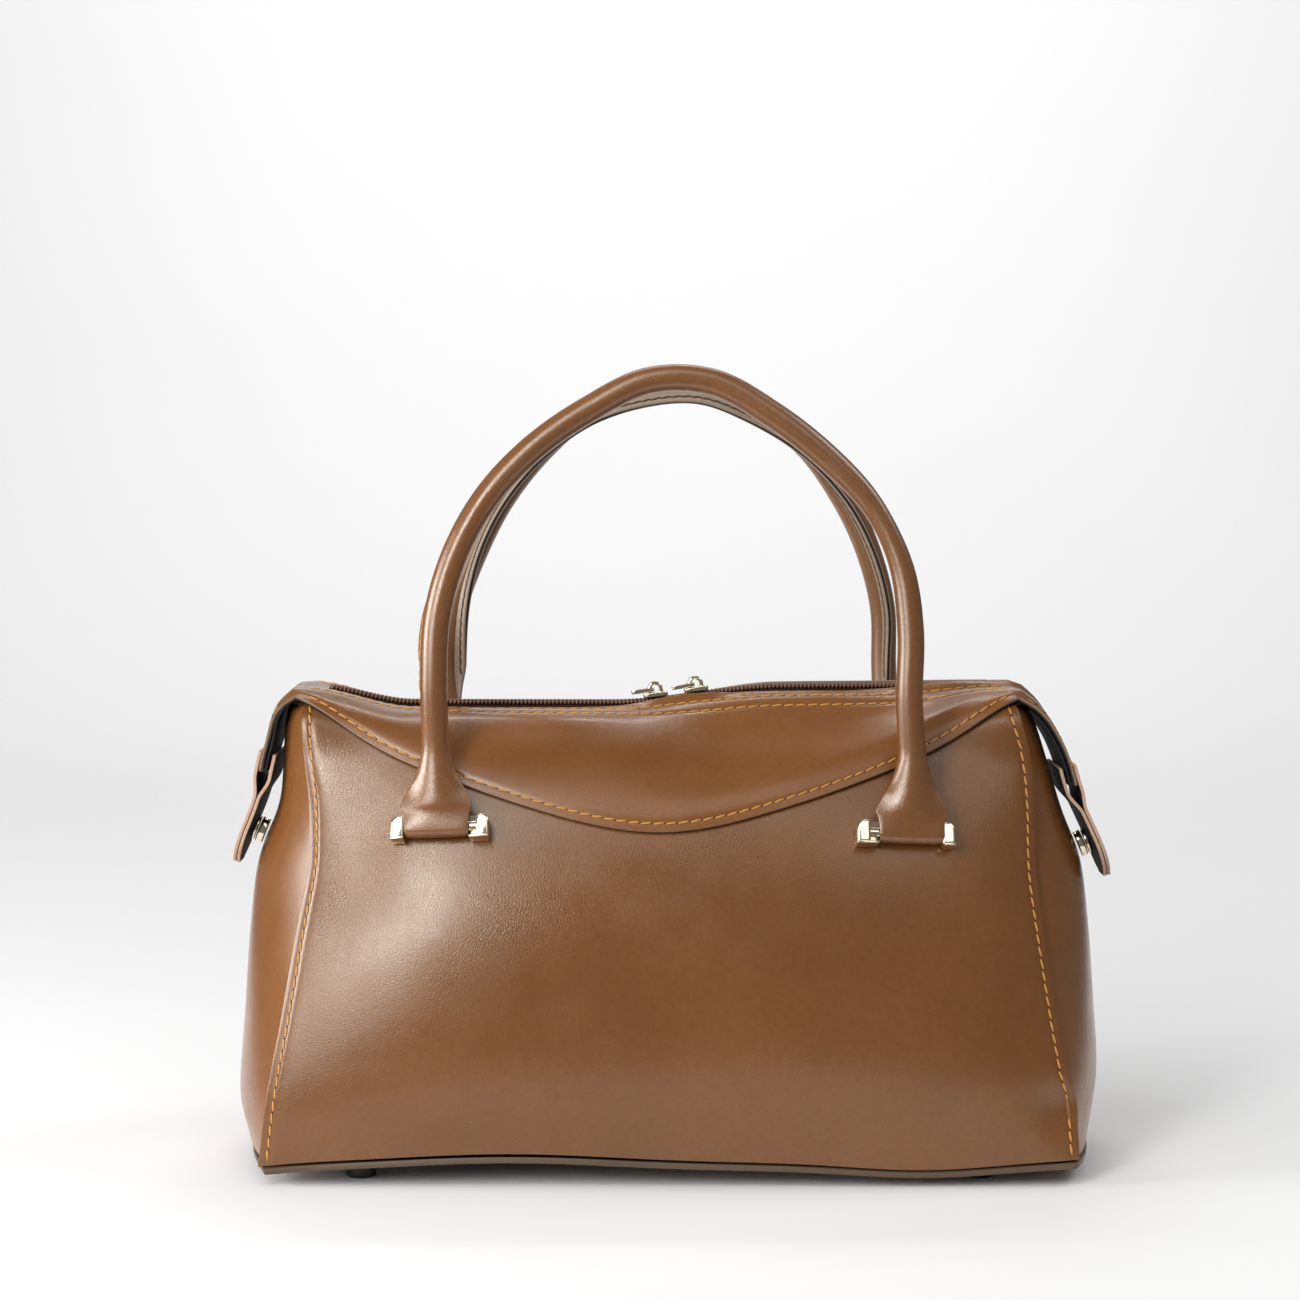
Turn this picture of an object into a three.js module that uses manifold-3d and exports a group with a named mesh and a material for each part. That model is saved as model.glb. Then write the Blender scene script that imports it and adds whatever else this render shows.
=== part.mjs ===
// A structured leather handbag: zipped top panel, two rolled handles on metal bridges, snapped end tabs.
// Millimetres, +Z up, the front faces -Y, and the origin is on the floor under the bag's middle.
import * as THREE from "three";
import { mergeVertices } from "three/addons/utils/BufferGeometryUtils.js";
import Module from "manifold-3d";

const wasm = await Module();
wasm.setup();

// Driving dimensions
const LEATHER = 1.8; // panels, gussets, top panel and straps
const TAB_LEATHER = 1.6;
const LINING = 0.8;
const GAP = 0.35; // between pieces that touch
const LAP_GAP = 1.15; // between the top panel and the panels that it laps over
const BASE_THICK = 2.5;
const BASE_LIP = 0.4; // how far the base stands out past the walls
const BASE_WAVE = 1.2;
const FOOT_HEIGHT = 7;
const FOOT_RADIUS = 6;
const FOOT_PLACE = { x: 122, y: 52 };

// A table: a list of column names, then its rows
function tableOf(names, ...rows) {
  return rows.map((row) => Object.fromEntries(names.map((name, k) => [name, row[k]])));
}

// The body's girth, from the base seam up to the zip: the section at the middle of the front, the seam
// at the front corner, and the end gusset's crown. Depths and halves are measured from the bag's middle.
const GIRTH = tableOf(
  ["at", "midDepth", "midHeight", "seamHalf", "seamDepth", "seamHeight", "endHalf"],
  ["base", 74, 10, 158, 72, 10, 169],
  ["belly", 78, 36, 155, 70, 36, 173.8],
  ["flank", 78, 66, 150, 65, 66, 172.5],
  ["waist", 73.5, 96, 145.5, 58, 96, 170.5],
  ["bridge", 66, 121, 142.5, 50.5, 121, 167.2],
  ["scallop", 55.5, 143, 142.5, 43.5, 143, 159],
  ["slope", 43, 161, 143, 37.5, 162, 155],
  ["shoulder", 29, 173, 142, 34, 180, 151.5],
  ["crest", 16, 182, 142, 23, 186.8, 149],
  ["zip", 5.5, 188, 142, 5.5, 188.5, 147],
);
const CORNER_POWER = 3.2; // how late the front panel turns towards its corners
const BULGE_POWER = 2.2; // how round the end gussets are
// Along the zip the leather dips softly and then rises a little. It starts and stops over these spans of x,
// and grows from a share of the girth up to the slot.
const RIDGE_DIP = { depth: 6.5, starts: [-146, -104], stops: [-22, 45] };
const RIDGE_RISE = { depth: -1.4, starts: [35, 65], stops: [115, 140] };
const RIDGE_FROM = 0.7;
const TOP_LEAN = { by: -4.6, from: 140, to: 190 }; // the soft top leans to the left, over these heights

// The top panel laps over the front and back with a scalloped edge, given as a length from the zip slot.
// The panels run on under it by the lap.
const SCALLOP = { middle: 73, end: 23, sharpness: 2.2 };
const LAP = { middle: 11, end: 4, power: 4 };
const SLOT = { halfLength: 134, halfWidth: 5.5, flatFrom: 0.9 };

// The strap that the top panel becomes past each end: its outer face, and its half width there.
const STRAP = tableOf(
  ["x", "z", "half", "crown"],
  [147, 190.4, 26.5, 0.8],
  [152.6, 185.3, 25.6, 0.5],
  [156.8, 179.2, 24.4, 0.25],
  [160, 172.2, 23, 0.1],
  [162.3, 164.7, 21.6, 0],
  [164.2, 157, 20.2, 0],
);
const LINING_FROM = 0.06; // share of the strap's length where its lining starts

// The tab carries the strap's line on, two layers that hold the strap's end between them.
const TAB = tableOf(
  ["x", "z"],
  [162.3, 164.7],
  [164.2, 157],
  [166.6, 148.6],
  [169.7, 140.4],
  [173, 132.3],
  [175.9, 124.2],
  [178.6, 116],
);
const TAB_HALF = 20.5;
const TAB_TIP = { length: 16, blunt: 0.12 };
// Where along the tab its layers come together, as shares, and how far under the strap's face they meet
const TAB_CLOSES = { from: 0.2, to: 0.38, depth: 1.3 };
const SNAP = { along: 0.64, radius: 7, socket: 1.7, cap: 5.2, chamfer: 0.6 };

// Rolled handles: a round roll with a sewn welt. Rows run from the left leg to the right one.
// welt turns from 0, towards the inside of the arch, through 90, towards the bag's middle, to 180.
const ROLL_RADIUS = 5.3;
const WELT = { length: 4.2, thick: 2.6, root: 1.6, ends: 0.05 };
const FRONT_HANDLE = tableOf(
  ["x", "depth", "z", "welt"],
  [-92.2, 54.8, 195.5, 130],
  [-90.9, 52.4, 221.2, 125],
  [-83.8, 49.9, 245.8, 100],
  [-71.1, 47.7, 268.2, 90],
  [-53.2, 46.3, 286.7, 90],
  [-31.8, 44.6, 301.1, 90],
  [-8.4, 43.7, 311.9, 90],
  [16.9, 43.7, 311.2, 90],
  [39.6, 44.9, 298.9, 90],
  [59.9, 46.6, 283, 90],
  [77.4, 48.1, 264, 90],
  [88.6, 50.4, 240.9, 90],
  [92.7, 53, 215.5, 90],
  [92.8, 55.2, 189.6, 90],
);
const BACK_HANDLE = tableOf(
  ["x", "depth", "z", "welt"],
  [-95, 55.1, 193.7, 15],
  [-90.6, 52.6, 218.6, 50],
  [-81.6, 50.3, 242.5, 75],
  [-70, 48, 264.8, 78],
  [-53.8, 46.5, 284.1, 70],
  [-34.2, 44.8, 299.9, 50],
  [-10.8, 43.8, 309.1, 30],
  [14.2, 43.8, 310.3, 30],
  [37.3, 44.7, 300.4, 45],
  [57.8, 46.3, 285.8, 65],
  [73.2, 47.9, 265.9, 90],
  [84.1, 50.2, 243.2, 100],
  [90.5, 52.6, 218.8, 102],
  [91.3, 54.9, 193.6, 98],
);

// Each handle's end: its line from the free end behind the bar, round it and up the front into the roll.
// out is the distance from the panel and up the distance along it; half and thick are half sizes.
const HANDLE_END = tableOf(
  ["out", "up", "half", "thick"],
  [1.9, 5, 12.2, 1],
  [1.9, -0.75, 12.3, 1],
  [2.65, -2.55, 12.3, 1],
  [4.45, -3.3, 12.3, 1],
  [6.25, -2.55, 12.4, 1],
  [7, -0.75, 12.6, 1],
  [7.4, 4.5, 13.2, 1.3],
  [8, 8.3, 13.9, 1.9],
  [8.7, 11, 11.2, 2.6],
  [9.8, 15.5, 9.1, 3.6],
  [11, 20.5, 7, 4.6],
  [12, 28, 5.7, 5.2],
);
const BRIDGE = { x: 91, height: 137.5, half: 20, tall: 9.6, post: 6.8, bottom: GAP, front: 6.6 };
const BRIDGE_CORNER = { upper: 4, lower: 1.4 };
const BRIDGE_BAR = { out: 4.45, half: 1.15, stretch: 0.6, bury: 1 };

// Zip
const TAPE = { thick: 0.7, outer: 15, ends: 0.97 };
const CHAIN = { half: 3, foot: GAP, top: 3, halfLength: 133 };
const SLIDER = { length: 10, width: 8.6, corner: 2.4, thick: 1.4, hoop: 2.4, wire: 0.6, lift: 1.2 };
const SLIDERS = [
  { side: "left", x: -0.6 },
  { side: "right", x: 16 },
];
const PULL = { near: 0.3, far: 9.8, width: 5.2, corner: 1.8, thick: 1.1, droop: 2 };
const EYE = { near: 1.2, far: 3.6, width: 2.6, corner: 0.6 };

// How finely the walls and rolls are faceted
const PANEL_STEPS = { across: 18, up: 12 };
const BASE_STEPS = { along: 12, across: 6 };
const GUSSET_STEPS = { across: 10, up: 12 };
const TOP_STEPS = { along: 30, half: 5 };
const ZIP_STEPS = 30;
const TAB_STEPS = { along: 6, across: 4, tip: [0.35, 0.62, 0.82, 0.94, 1] };
const ROLL_SIDES = 10;
const HANDLE_STEPS = 26;
const PROFILE_SAMPLES = 48;

// Materials
function finish(color, roughness, metalness = 0) {
  return new THREE.MeshStandardMaterial({ color, roughness, metalness });
}

const tanLeather = finish(0x96623c, 0.42);
const darkLining = finish(0x17140f, 0.8);
const zipTape = finish(0x5a3a26, 0.85);
const zipChain = finish(0x6b4630, 0.45);
const paleGold = finish(0xd8cba4, 0.15, 1);
const darkFoot = finish(0x1c1a18, 0.4);

// Small helpers
const vec = (x, y, z) => new THREE.Vector3(x, y, z);
const lerp = THREE.MathUtils.lerp;
const smooth = (x, from, to) => THREE.MathUtils.smoothstep(x, from, to);
const steps = (n) => Array.from({ length: n + 1 }, (_, i) => i / n);
const curveOf = (points) => new THREE.CatmullRomCurve3(points, false, "catmullrom", 0.5);
const column = (table, name) => curveOf(table.map((row) => vec(row[name], 0, 0)));
const valueAt = (curve, t) => curve.getPoint(t).x;

// A closed geometry from vertices and triangles
function geometryOf(vertices, triangles) {
  const geometry = new THREE.BufferGeometry();
  const numbers = vertices.flatMap((v) => [v.x, v.y, v.z]);
  geometry.setAttribute("position", new THREE.Float32BufferAttribute(numbers, 3));
  geometry.setIndex(triangles.flat());
  geometry.computeVertexNormals();
  return geometry;
}

// Booleans
function toSolid(geometry) {
  const bare = geometry.clone();
  bare.deleteAttribute("normal");
  bare.deleteAttribute("uv");
  const merged = mergeVertices(bare, 1e-3);
  const vertProperties = new Float32Array(merged.attributes.position.array);
  const triVerts = new Uint32Array(merged.index.array);
  return new wasm.Manifold(new wasm.Mesh({ numProp: 3, vertProperties, triVerts }));
}

function fromSolid(solid) {
  const mesh = solid.getMesh();
  const vertices = [];
  for (let i = 0; i < mesh.numVert; i++) {
    const at = i * mesh.numProp;
    vertices.push(vec(mesh.vertProperties[at], mesh.vertProperties[at + 1], mesh.vertProperties[at + 2]));
  }
  const triangles = [];
  for (let i = 0; i < mesh.triVerts.length; i += 3) triangles.push([...mesh.triVerts.slice(i, i + 3)]);
  return geometryOf(vertices, triangles);
}

function joined(...geometries) {
  return fromSolid(geometries.map(toSolid).reduce((whole, piece) => whole.add(piece)));
}

// The outward normals of a grid of points, where stepping i and then j turns left as seen from outside
function gridNormals(grid) {
  const last = [grid.length - 1, grid[0].length - 1];
  return grid.map((line, i) =>
    line.map((_, j) => {
      const along = grid[Math.min(i + 1, last[0])][j].clone().sub(grid[Math.max(i - 1, 0)][j]);
      const across = line[Math.min(j + 1, last[1])].clone().sub(line[Math.max(j - 1, 0)]);
      return along.cross(across).normalize();
    }),
  );
}

// A wall: the grid is its outer face, the inner face lies a thickness below, and open borders are closed.
function wall(grid, thickness, keep = () => true) {
  const [rows, cols] = [grid.length, grid[0].length];
  const normals = gridNormals(grid);
  const outer = grid.flat();
  const below = (p, i, j) => p.clone().addScaledVector(normals[i][j], -thickness);
  const inner = grid.flatMap((line, i) => line.map((p, j) => below(p, i, j)));
  const at = (i, j) => i * cols + j;
  const kept = (i, j) => i >= 0 && j >= 0 && i < rows - 1 && j < cols - 1 && keep(i, j);
  const triangles = [];
  const quad = (a, b, c, d) => triangles.push([a, b, c], [a, c, d]);
  const under = outer.length;
  const border = (a, b) => quad(b, a, a + under, b + under);
  for (let i = 0; i < rows - 1; i++) {
    for (let j = 0; j < cols - 1; j++) {
      if (!kept(i, j)) continue;
      const [a, b, c, d] = [at(i, j), at(i + 1, j), at(i + 1, j + 1), at(i, j + 1)];
      quad(a, b, c, d);
      quad(d + under, c + under, b + under, a + under);
      if (!kept(i, j - 1)) border(a, b);
      if (!kept(i + 1, j)) border(b, c);
      if (!kept(i, j + 1)) border(c, d);
      if (!kept(i - 1, j)) border(d, a);
    }
  }
  const used = [...new Set(triangles.flat())];
  const order = new Map(used.map((old, now) => [old, now]));
  const all = [...outer, ...inner];
  return geometryOf(used.map((k) => all[k]), triangles.map((tri) => tri.map((k) => order.get(k))));
}

// A closed loft through rings of equal count, capped at both ends
function loft(rings) {
  const count = rings[0].length;
  const vertices = rings.flat();
  const triangles = [];
  for (let i = 0; i < rings.length - 1; i++) {
    for (let k = 0; k < count; k++) {
      const [a, b] = [i * count + k, i * count + ((k + 1) % count)];
      triangles.push([a, b, b + count], [a, b + count, a + count]);
    }
  }
  for (const [ring, first] of [[rings[0], true], [rings.at(-1), false]]) {
    const start = first ? 0 : (rings.length - 1) * count;
    const middle = vertices.push(ring.reduce((sum, p) => sum.add(p), vec(0, 0, 0)).divideScalar(count)) - 1;
    for (let k = 0; k < count; k++) {
      const [a, b] = [start + k, start + ((k + 1) % count)];
      triangles.push(first ? [middle, b, a] : [middle, a, b]);
    }
  }
  return geometryOf(vertices, triangles);
}

// Body skin. u runs from -1 at the left seam to 1 at the right, t from 0 at the base to 1 at the zip slot,
// and side is -1 for the front and 1 for the back.
const midLine = curveOf(GIRTH.map((row) => vec(0, row.midDepth, row.midHeight)));
const seamLine = curveOf(GIRTH.map((row) => vec(row.seamHalf, row.seamDepth, row.seamHeight)));
const endLine = column(GIRTH, "endHalf");

function ridgeDrop(x, t) {
  const drop = ({ depth, starts, stops }) => depth * smooth(x, ...starts) * (1 - smooth(x, ...stops));
  return (drop(RIDGE_DIP) + drop(RIDGE_RISE)) * smooth(t, RIDGE_FROM, 1);
}

function leanAt(z) {
  return TOP_LEAN.by * smooth(z, TOP_LEAN.from, TOP_LEAN.to);
}

function skin(u, t, side) {
  const [mid, seam] = [midLine.getPoint(t), seamLine.getPoint(t)];
  const turn = Math.abs(u) ** CORNER_POWER;
  const height = lerp(mid.z, seam.z, turn);
  const x = u * seam.x + leanAt(height);
  return vec(x, side * lerp(mid.y, seam.y, turn), height - ridgeDrop(x, t));
}

function skinNormal(u, t, side) {
  const d = 1e-3;
  const along = skin(u + d, t, side).sub(skin(u - d, t, side));
  const up = skin(u, Math.min(t + d, 1), side).sub(skin(u, Math.max(t - d, 0), side));
  return along.cross(up).multiplyScalar(-side).normalize();
}

// The height up the girth, as t, at a given length of leather down from the zip slot
function girthAt(u, side, length) {
  let [walked, before] = [0, skin(u, 1, side)];
  for (const share of steps(PROFILE_SAMPLES).slice(1)) {
    const here = skin(u, 1 - share, side);
    const step = here.distanceTo(before);
    if (walked + step >= length) return 1 - share + ((walked + step - length) / step) / PROFILE_SAMPLES;
    walked += step;
    before = here;
  }
  return 0;
}

function scallopLength(u) {
  const bend = (r) => Math.sqrt(1 + (SCALLOP.sharpness * r) ** 2) - 1;
  return lerp(SCALLOP.middle, SCALLOP.end, bend(Math.abs(u)) / bend(1));
}

// Front and back panels, from the base up to the lap under the top panel's edge
function panel(side) {
  const us = steps(PANEL_STEPS.across).map((share) => side * (1 - 2 * share));
  const grid = us.map((u) => {
    const lap = lerp(LAP.middle, LAP.end, Math.abs(u) ** LAP.power);
    const top = girthAt(u, side, scallopLength(u) - lap);
    return steps(PANEL_STEPS.up).map((share) => skin(u, share * top, side));
  });
  return wall(grid, LEATHER);
}

// End gussets, tucked behind the panels' side edges. hand is -1 at the left and 1 at the right.
const GUSSET_TOP = 0.875; // the share of the girth where a gusset ends under the strap
const GUSSET_TUCK = LEATHER + 3 * GAP;
const TUCK_FULL = 0.3; // the share of the girth where the tuck reaches its full drop

function gussetPoint(v, t, hand) {
  const [seam, run] = [seamLine.getPoint(t), seamLine.getTangent(t)];
  const tuck = vec(0, run.z, -run.y).setLength(GUSSET_TUCK);
  const x = lerp(valueAt(endLine, t), seam.x - GAP, Math.abs(v) ** BULGE_POWER);
  return vec(hand * x + leanAt(seam.z), v * (seam.y - tuck.y), seam.z - tuck.z * smooth(t, 0, TUCK_FULL));
}

function gusset(hand) {
  const vs = steps(GUSSET_STEPS.across).map((share) => hand * (2 * share - 1));
  const ts = steps(GUSSET_STEPS.up).map((share) => share * GUSSET_TOP);
  return wall(vs.map((v) => ts.map((t) => gussetPoint(v, t, hand))), LEATHER);
}

// The base: a plate that stands out a little past the panels, with a gentle wave along its long edges
function basePanel() {
  const [mid, seam, end] = [midLine.getPoint(0), seamLine.getPoint(0), valueAt(endLine, 0)];
  const top = FOOT_HEIGHT + BASE_THICK;
  const grid = steps(BASE_STEPS.along).map((uShare) =>
    steps(BASE_STEPS.across).map((vShare) => {
      const [u, v] = [2 * uShare - 1, 2 * vShare - 1];
      const x = u * (lerp(end, seam.x, Math.abs(v) ** BULGE_POWER) + BASE_LIP);
      const y = v * (lerp(mid.y, seam.y, Math.abs(u) ** CORNER_POWER) + BASE_LIP);
      const droop = BASE_WAVE * v ** 10 * (1 - u ** 4) * (1 - Math.cos(1.5 * Math.PI * u)) / 2;
      return vec(x, y, top - droop);
    }),
  );
  return wall(grid, BASE_THICK);
}

// The top panel: its outer face lies a lap above the skin. It has the zip's slot and a strap past each end.
const TOP_LIFT = LAP_GAP + LEATHER;
const SLOT_LIFT = 1.5 * GAP + LEATHER;

function topPoint(u, t, side) {
  const lift = lerp(TOP_LIFT, SLOT_LIFT, smooth(t, SLOT.flatFrom, 1));
  return skin(u, t, side).addScaledVector(skinNormal(u, t, side), lift);
}

function topColumn(u) {
  const half = (side) => {
    const edge = girthAt(u, side, scallopLength(u));
    return steps(TOP_STEPS.half).map((share) => topPoint(u, lerp(edge, 1, share), side));
  };
  return [...half(-1), ...half(1).reverse()];
}

const strapLine = curveOf(STRAP.map((row) => vec(row.x, 0, row.z)));
const strapHalf = column(STRAP, "half");
const strapCrown = column(STRAP, "crown");
const tabLine = curveOf(TAB.map((row) => vec(row.x, 0, row.z)));

// A point on a strap or tab: across from -1 to 1, lift above the line's face, on the end that hand names
function linePoint(line, t, across, lift, hand) {
  const [at, along] = [line.getPoint(t), line.getTangent(t)];
  const out = vec(-along.z, 0, along.x);
  return vec(hand * (at.x + out.x * lift) + leanAt(at.z), across, at.z + out.z * lift);
}

function strapColumn(share, hand, lift = 0) {
  const seamColumn = topColumn(hand);
  const [edge, slot] = [seamColumn[0], seamColumn[TOP_STEPS.half]];
  return seamColumn.map((p) => {
    const across = (p.y / Math.abs(edge.y)) * valueAt(strapHalf, share);
    const drop = (p.z - slot.z) * valueAt(strapCrown, share);
    return linePoint(strapLine, share, across, drop + lift, hand);
  });
}

const STRAP_SHARES = steps(6);

function topPanel() {
  const slotEnd = SLOT.halfLength / GIRTH.at(-1).seamHalf;
  const inner = steps(TOP_STEPS.along).map((share) => slotEnd * (2 * share - 1));
  const us = [-1, ...inner, 1];
  const left = STRAP_SHARES.map((share) => strapColumn(share, -1)).reverse();
  const right = STRAP_SHARES.map((share) => strapColumn(share, 1));
  const grid = [...left, ...us.map(topColumn), ...right];
  const slotFrom = left.length + 1;
  const inSlot = (i, j) => j === TOP_STEPS.half && i >= slotFrom && i < slotFrom + TOP_STEPS.along;
  return wall(grid, LEATHER, (i, j) => !inSlot(i, j));
}

// The dark lining under each strap, from the fold down to the tab
function strapLining(hand) {
  const shares = STRAP_SHARES.filter((share) => share > LINING_FROM);
  const order = hand > 0 ? shares : shares.reverse();
  const sparse = (line) => line.filter((_, j) => j % TOP_STEPS.half === 0 || j % 2 === 0);
  return wall(order.map((share) => sparse(strapColumn(share, hand, -LEATHER - 2 * GAP))), LINING);
}

// Tab layers: the strap's end is between them at the top, and they meet below it
const tabClosed = (t) => smooth(t, TAB_CLOSES.from, TAB_CLOSES.to);
const tabOuterFace = (t) => lerp(GAP, -TAB_CLOSES.depth, tabClosed(t));
const tabInnerFace = (t) => lerp(-LEATHER - LINING - 5 * GAP, -TAB_CLOSES.depth - GAP, tabClosed(t));

function tabHalf(t) {
  const length = tabLine.getLength();
  const past = Math.max(0, (t - 1) * length + TAB_TIP.length) / TAB_TIP.length;
  return TAB_HALF * Math.sqrt(Math.max(TAB_TIP.blunt, 1 - past ** 2));
}

function tabLayer(hand, faceAt) {
  const across = steps(TAB_STEPS.across).map((share) => hand * (2 * share - 1));
  const tipShare = TAB_TIP.length / tabLine.getLength();
  const body = steps(TAB_STEPS.along).map((share) => share * (1 - tipShare));
  const tip = TAB_STEPS.tip.map((share) => 1 - tipShare * (1 - share));
  const line = (t) => across.map((w) => linePoint(tabLine, t, w * tabHalf(t), faceAt(t), hand));
  const grid = [...body, ...tip].map(line);
  return wall(grid, TAB_LEATHER);
}

// Snap: a socket on the tab's inner layer and a stud on the gusset, on one axis square to the tab
function snapFrame(hand) {
  const inner = linePoint(tabLine, SNAP.along, 0, tabInnerFace(SNAP.along) - TAB_LEATHER - 1.5 * GAP, hand);
  const along = tabLine.getTangent(SNAP.along);
  const inward = vec(hand * along.z, 0, -along.x).normalize();
  return { inner, inward };
}

function disc(profile) {
  return new THREE.LatheGeometry(profile.map(([r, h]) => new THREE.Vector2(r, h)), 16).rotateX(Math.PI / 2);
}

// The clear length on the snap's axis from the tab's inner layer to the gusset's crown
function snapClearance() {
  const { inner, inward } = snapFrame(1);
  let nearest = Infinity;
  for (const share of steps(PROFILE_SAMPLES)) {
    const across = gussetPoint(0, share * GUSSET_TOP, 1).sub(inner);
    const along = across.dot(inward);
    if (across.addScaledVector(inward, -along).length() < SNAP.radius) nearest = Math.min(nearest, along);
  }
  return nearest;
}

const snapDepth = snapClearance() - 2 * GAP;
const snapSocket = disc([
  [0, 0],
  [SNAP.radius, 0],
  [SNAP.radius, SNAP.socket - SNAP.chamfer],
  [SNAP.radius - SNAP.chamfer, SNAP.socket],
  [0, SNAP.socket],
]);
const snapStud = disc([
  [0, SNAP.socket + GAP],
  [SNAP.cap, SNAP.socket + GAP],
  [SNAP.radius, SNAP.socket + GAP + SNAP.chamfer],
  [SNAP.radius, snapDepth],
  [0, snapDepth],
]);

// Handles. The frame at a bridge has its origin on the panel, x along it, up it, and out of it.
function bridgeFrame(x, side) {
  let [low, high] = [0.2, 0.8];
  const seamAt = (t) => x / seamLine.getPoint(t).x;
  for (let i = 0; i < 40; i++) {
    const t = (low + high) / 2;
    if (skin(seamAt(t), t, side).z < BRIDGE.height) low = t;
    else high = t;
  }
  const u = seamAt(low);
  const out = skinNormal(u, low, side);
  const along = vec(-side, 0, 0).addScaledVector(out, side * out.x).normalize();
  return { origin: skin(u, low, side), along, up: out.clone().cross(along), out };
}

// One end of a handle as sections, from the free end behind the bar up into the roll
function endSections(hand, side) {
  const frame = bridgeFrame(hand * BRIDGE.x, side);
  const inward = vec(-hand, 0, 0);
  const { origin, up, out } = frame;
  const place = (row) => origin.clone().addScaledVector(up, row.up).addScaledVector(out, row.out);
  const wide = frame.along.multiplyScalar(Math.sign(frame.along.dot(inward)));
  return HANDLE_END.map((row) => ({ at: place(row), wide, half: row.half, thick: row.thick }));
}

// A superellipse ring square to a line: wide is the way its half size points
function sectionRing(at, tangent, wide, half, thick) {
  const across = wide.clone().addScaledVector(tangent, -wide.dot(tangent)).normalize();
  const deep = tangent.clone().cross(across);
  return steps(ROLL_SIDES).slice(1).map((share) => {
    const angle = 2 * Math.PI * share;
    const square = lerp(1, 0.55, smooth(half / thick, 1, 4));
    const shape = (c) => Math.sign(c) * Math.abs(c) ** square;
    const [a, b] = [half * shape(Math.cos(angle)), thick * shape(Math.sin(angle))];
    return at.clone().addScaledVector(across, a).addScaledVector(deep, b);
  });
}

// The way from a point of the arch towards its inside
const archInward = (tangent) => vec(tangent.z, 0, -tangent.x).normalize();

function handle(table, side) {
  const left = endSections(-1, side);
  const right = endSections(1, side).reverse();
  const points = table.map((row) => vec(row.x, side * row.depth, row.z));
  const arch = curveOf([left.at(-1).at, ...points, right[0].at]);
  const roll = steps(HANDLE_STEPS).slice(1, -1).map((t) => ({
    at: arch.getPoint(t),
    wide: archInward(arch.getTangent(t)),
    half: ROLL_RADIUS,
    thick: ROLL_RADIUS,
  }));
  const sections = [...left, ...roll, ...right];
  const rings = sections.map(({ at, wide, half, thick }, i) => {
    const after = sections[Math.min(i + 1, sections.length - 1)].at;
    const before = sections[Math.max(i - 1, 0)].at;
    return sectionRing(at, after.clone().sub(before).normalize(), wide, half, thick);
  });
  return { rings, arch };
}

// The welt: a flat strip that stands out of the roll, with its turn from the table
function welt(table, arch, side) {
  const turns = column([table[0], ...table, table.at(-1)], "welt");
  const shares = steps(HANDLE_STEPS).filter((t) => t > WELT.ends && t < 1 - WELT.ends);
  const rings = shares.map((t) => {
    const [at, tangent] = [arch.getPoint(t), arch.getTangent(t)];
    const turn = THREE.MathUtils.degToRad(valueAt(turns, t));
    const middle = vec(0, -side, 0);
    const out = archInward(tangent).multiplyScalar(Math.cos(turn)).addScaledVector(middle, Math.sin(turn));
    out.addScaledVector(tangent, -out.dot(tangent)).normalize();
    const flat = tangent.clone().cross(out);
    const corner = (reach, half) => at.clone().addScaledVector(out, reach).addScaledVector(flat, half);
    const [from, to, half] = [WELT.root, ROLL_RADIUS + WELT.length, WELT.thick / 2];
    return [corner(from, -half), corner(to, -half), corner(to, half), corner(from, half)];
  });
  return loft(rings);
}

function rolledHandle(table, side) {
  const { rings, arch } = handle(table, side);
  return joined(loft(rings), welt(table, arch, side));
}

// A metal bridge: two posts with rounded upper corners, and the bar that the handle's end wraps round
function bridgePost(hand) {
  const [inner, outer] = [BRIDGE.half - BRIDGE.post, BRIDGE.half];
  const [low, high] = [-BRIDGE.tall / 2, BRIDGE.tall / 2];
  const { upper, lower } = BRIDGE_CORNER;
  const shape = new THREE.Shape();
  shape.moveTo(inner, low);
  shape.lineTo(outer - lower, low);
  shape.absarc(outer - lower, low + lower, lower, -Math.PI / 2, 0);
  shape.lineTo(outer, high - upper);
  shape.absarc(outer - upper, high - upper, upper, 0, Math.PI / 2);
  shape.lineTo(inner, high);
  const depth = BRIDGE.front - BRIDGE.bottom;
  const post = new THREE.ExtrudeGeometry(shape, { depth, bevelEnabled: false, curveSegments: 5 });
  post.translate(0, 0, BRIDGE.bottom);
  return hand > 0 ? post : post.rotateY(Math.PI).translate(0, 0, BRIDGE.front + BRIDGE.bottom);
}

function bridgeBar() {
  const { half: r, stretch, bury } = BRIDGE_BAR;
  const half = BRIDGE.half - BRIDGE.post + bury;
  const shape = new THREE.Shape();
  shape.absarc(0, r * stretch, r, 0, Math.PI);
  shape.absarc(0, -r * stretch, r, Math.PI, 2 * Math.PI);
  const bar = new THREE.ExtrudeGeometry(shape, { depth: 2 * half, bevelEnabled: false, curveSegments: 5 });
  return bar.translate(0, 0, -half).rotateY(Math.PI / 2).translate(0, 0, BRIDGE_BAR.out);
}

const bridge = joined(bridgePost(-1), bridgePost(1), bridgeBar());

// Feet: short flat-bottomed domes
const foot = disc([
  [0, 0],
  [FOOT_RADIUS * 0.6, 0],
  [FOOT_RADIUS * 0.85, FOOT_HEIGHT * 0.2],
  [FOOT_RADIUS, FOOT_HEIGHT * 0.55],
  [FOOT_RADIUS, FOOT_HEIGHT - 2 * GAP],
  [0, FOOT_HEIGHT - 2 * GAP],
]);

// Zip: two tapes under the slot's edges, the closed chain between them
function ridge(x) {
  return skin(x / GIRTH.at(-1).seamHalf, 1, -1);
}

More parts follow.
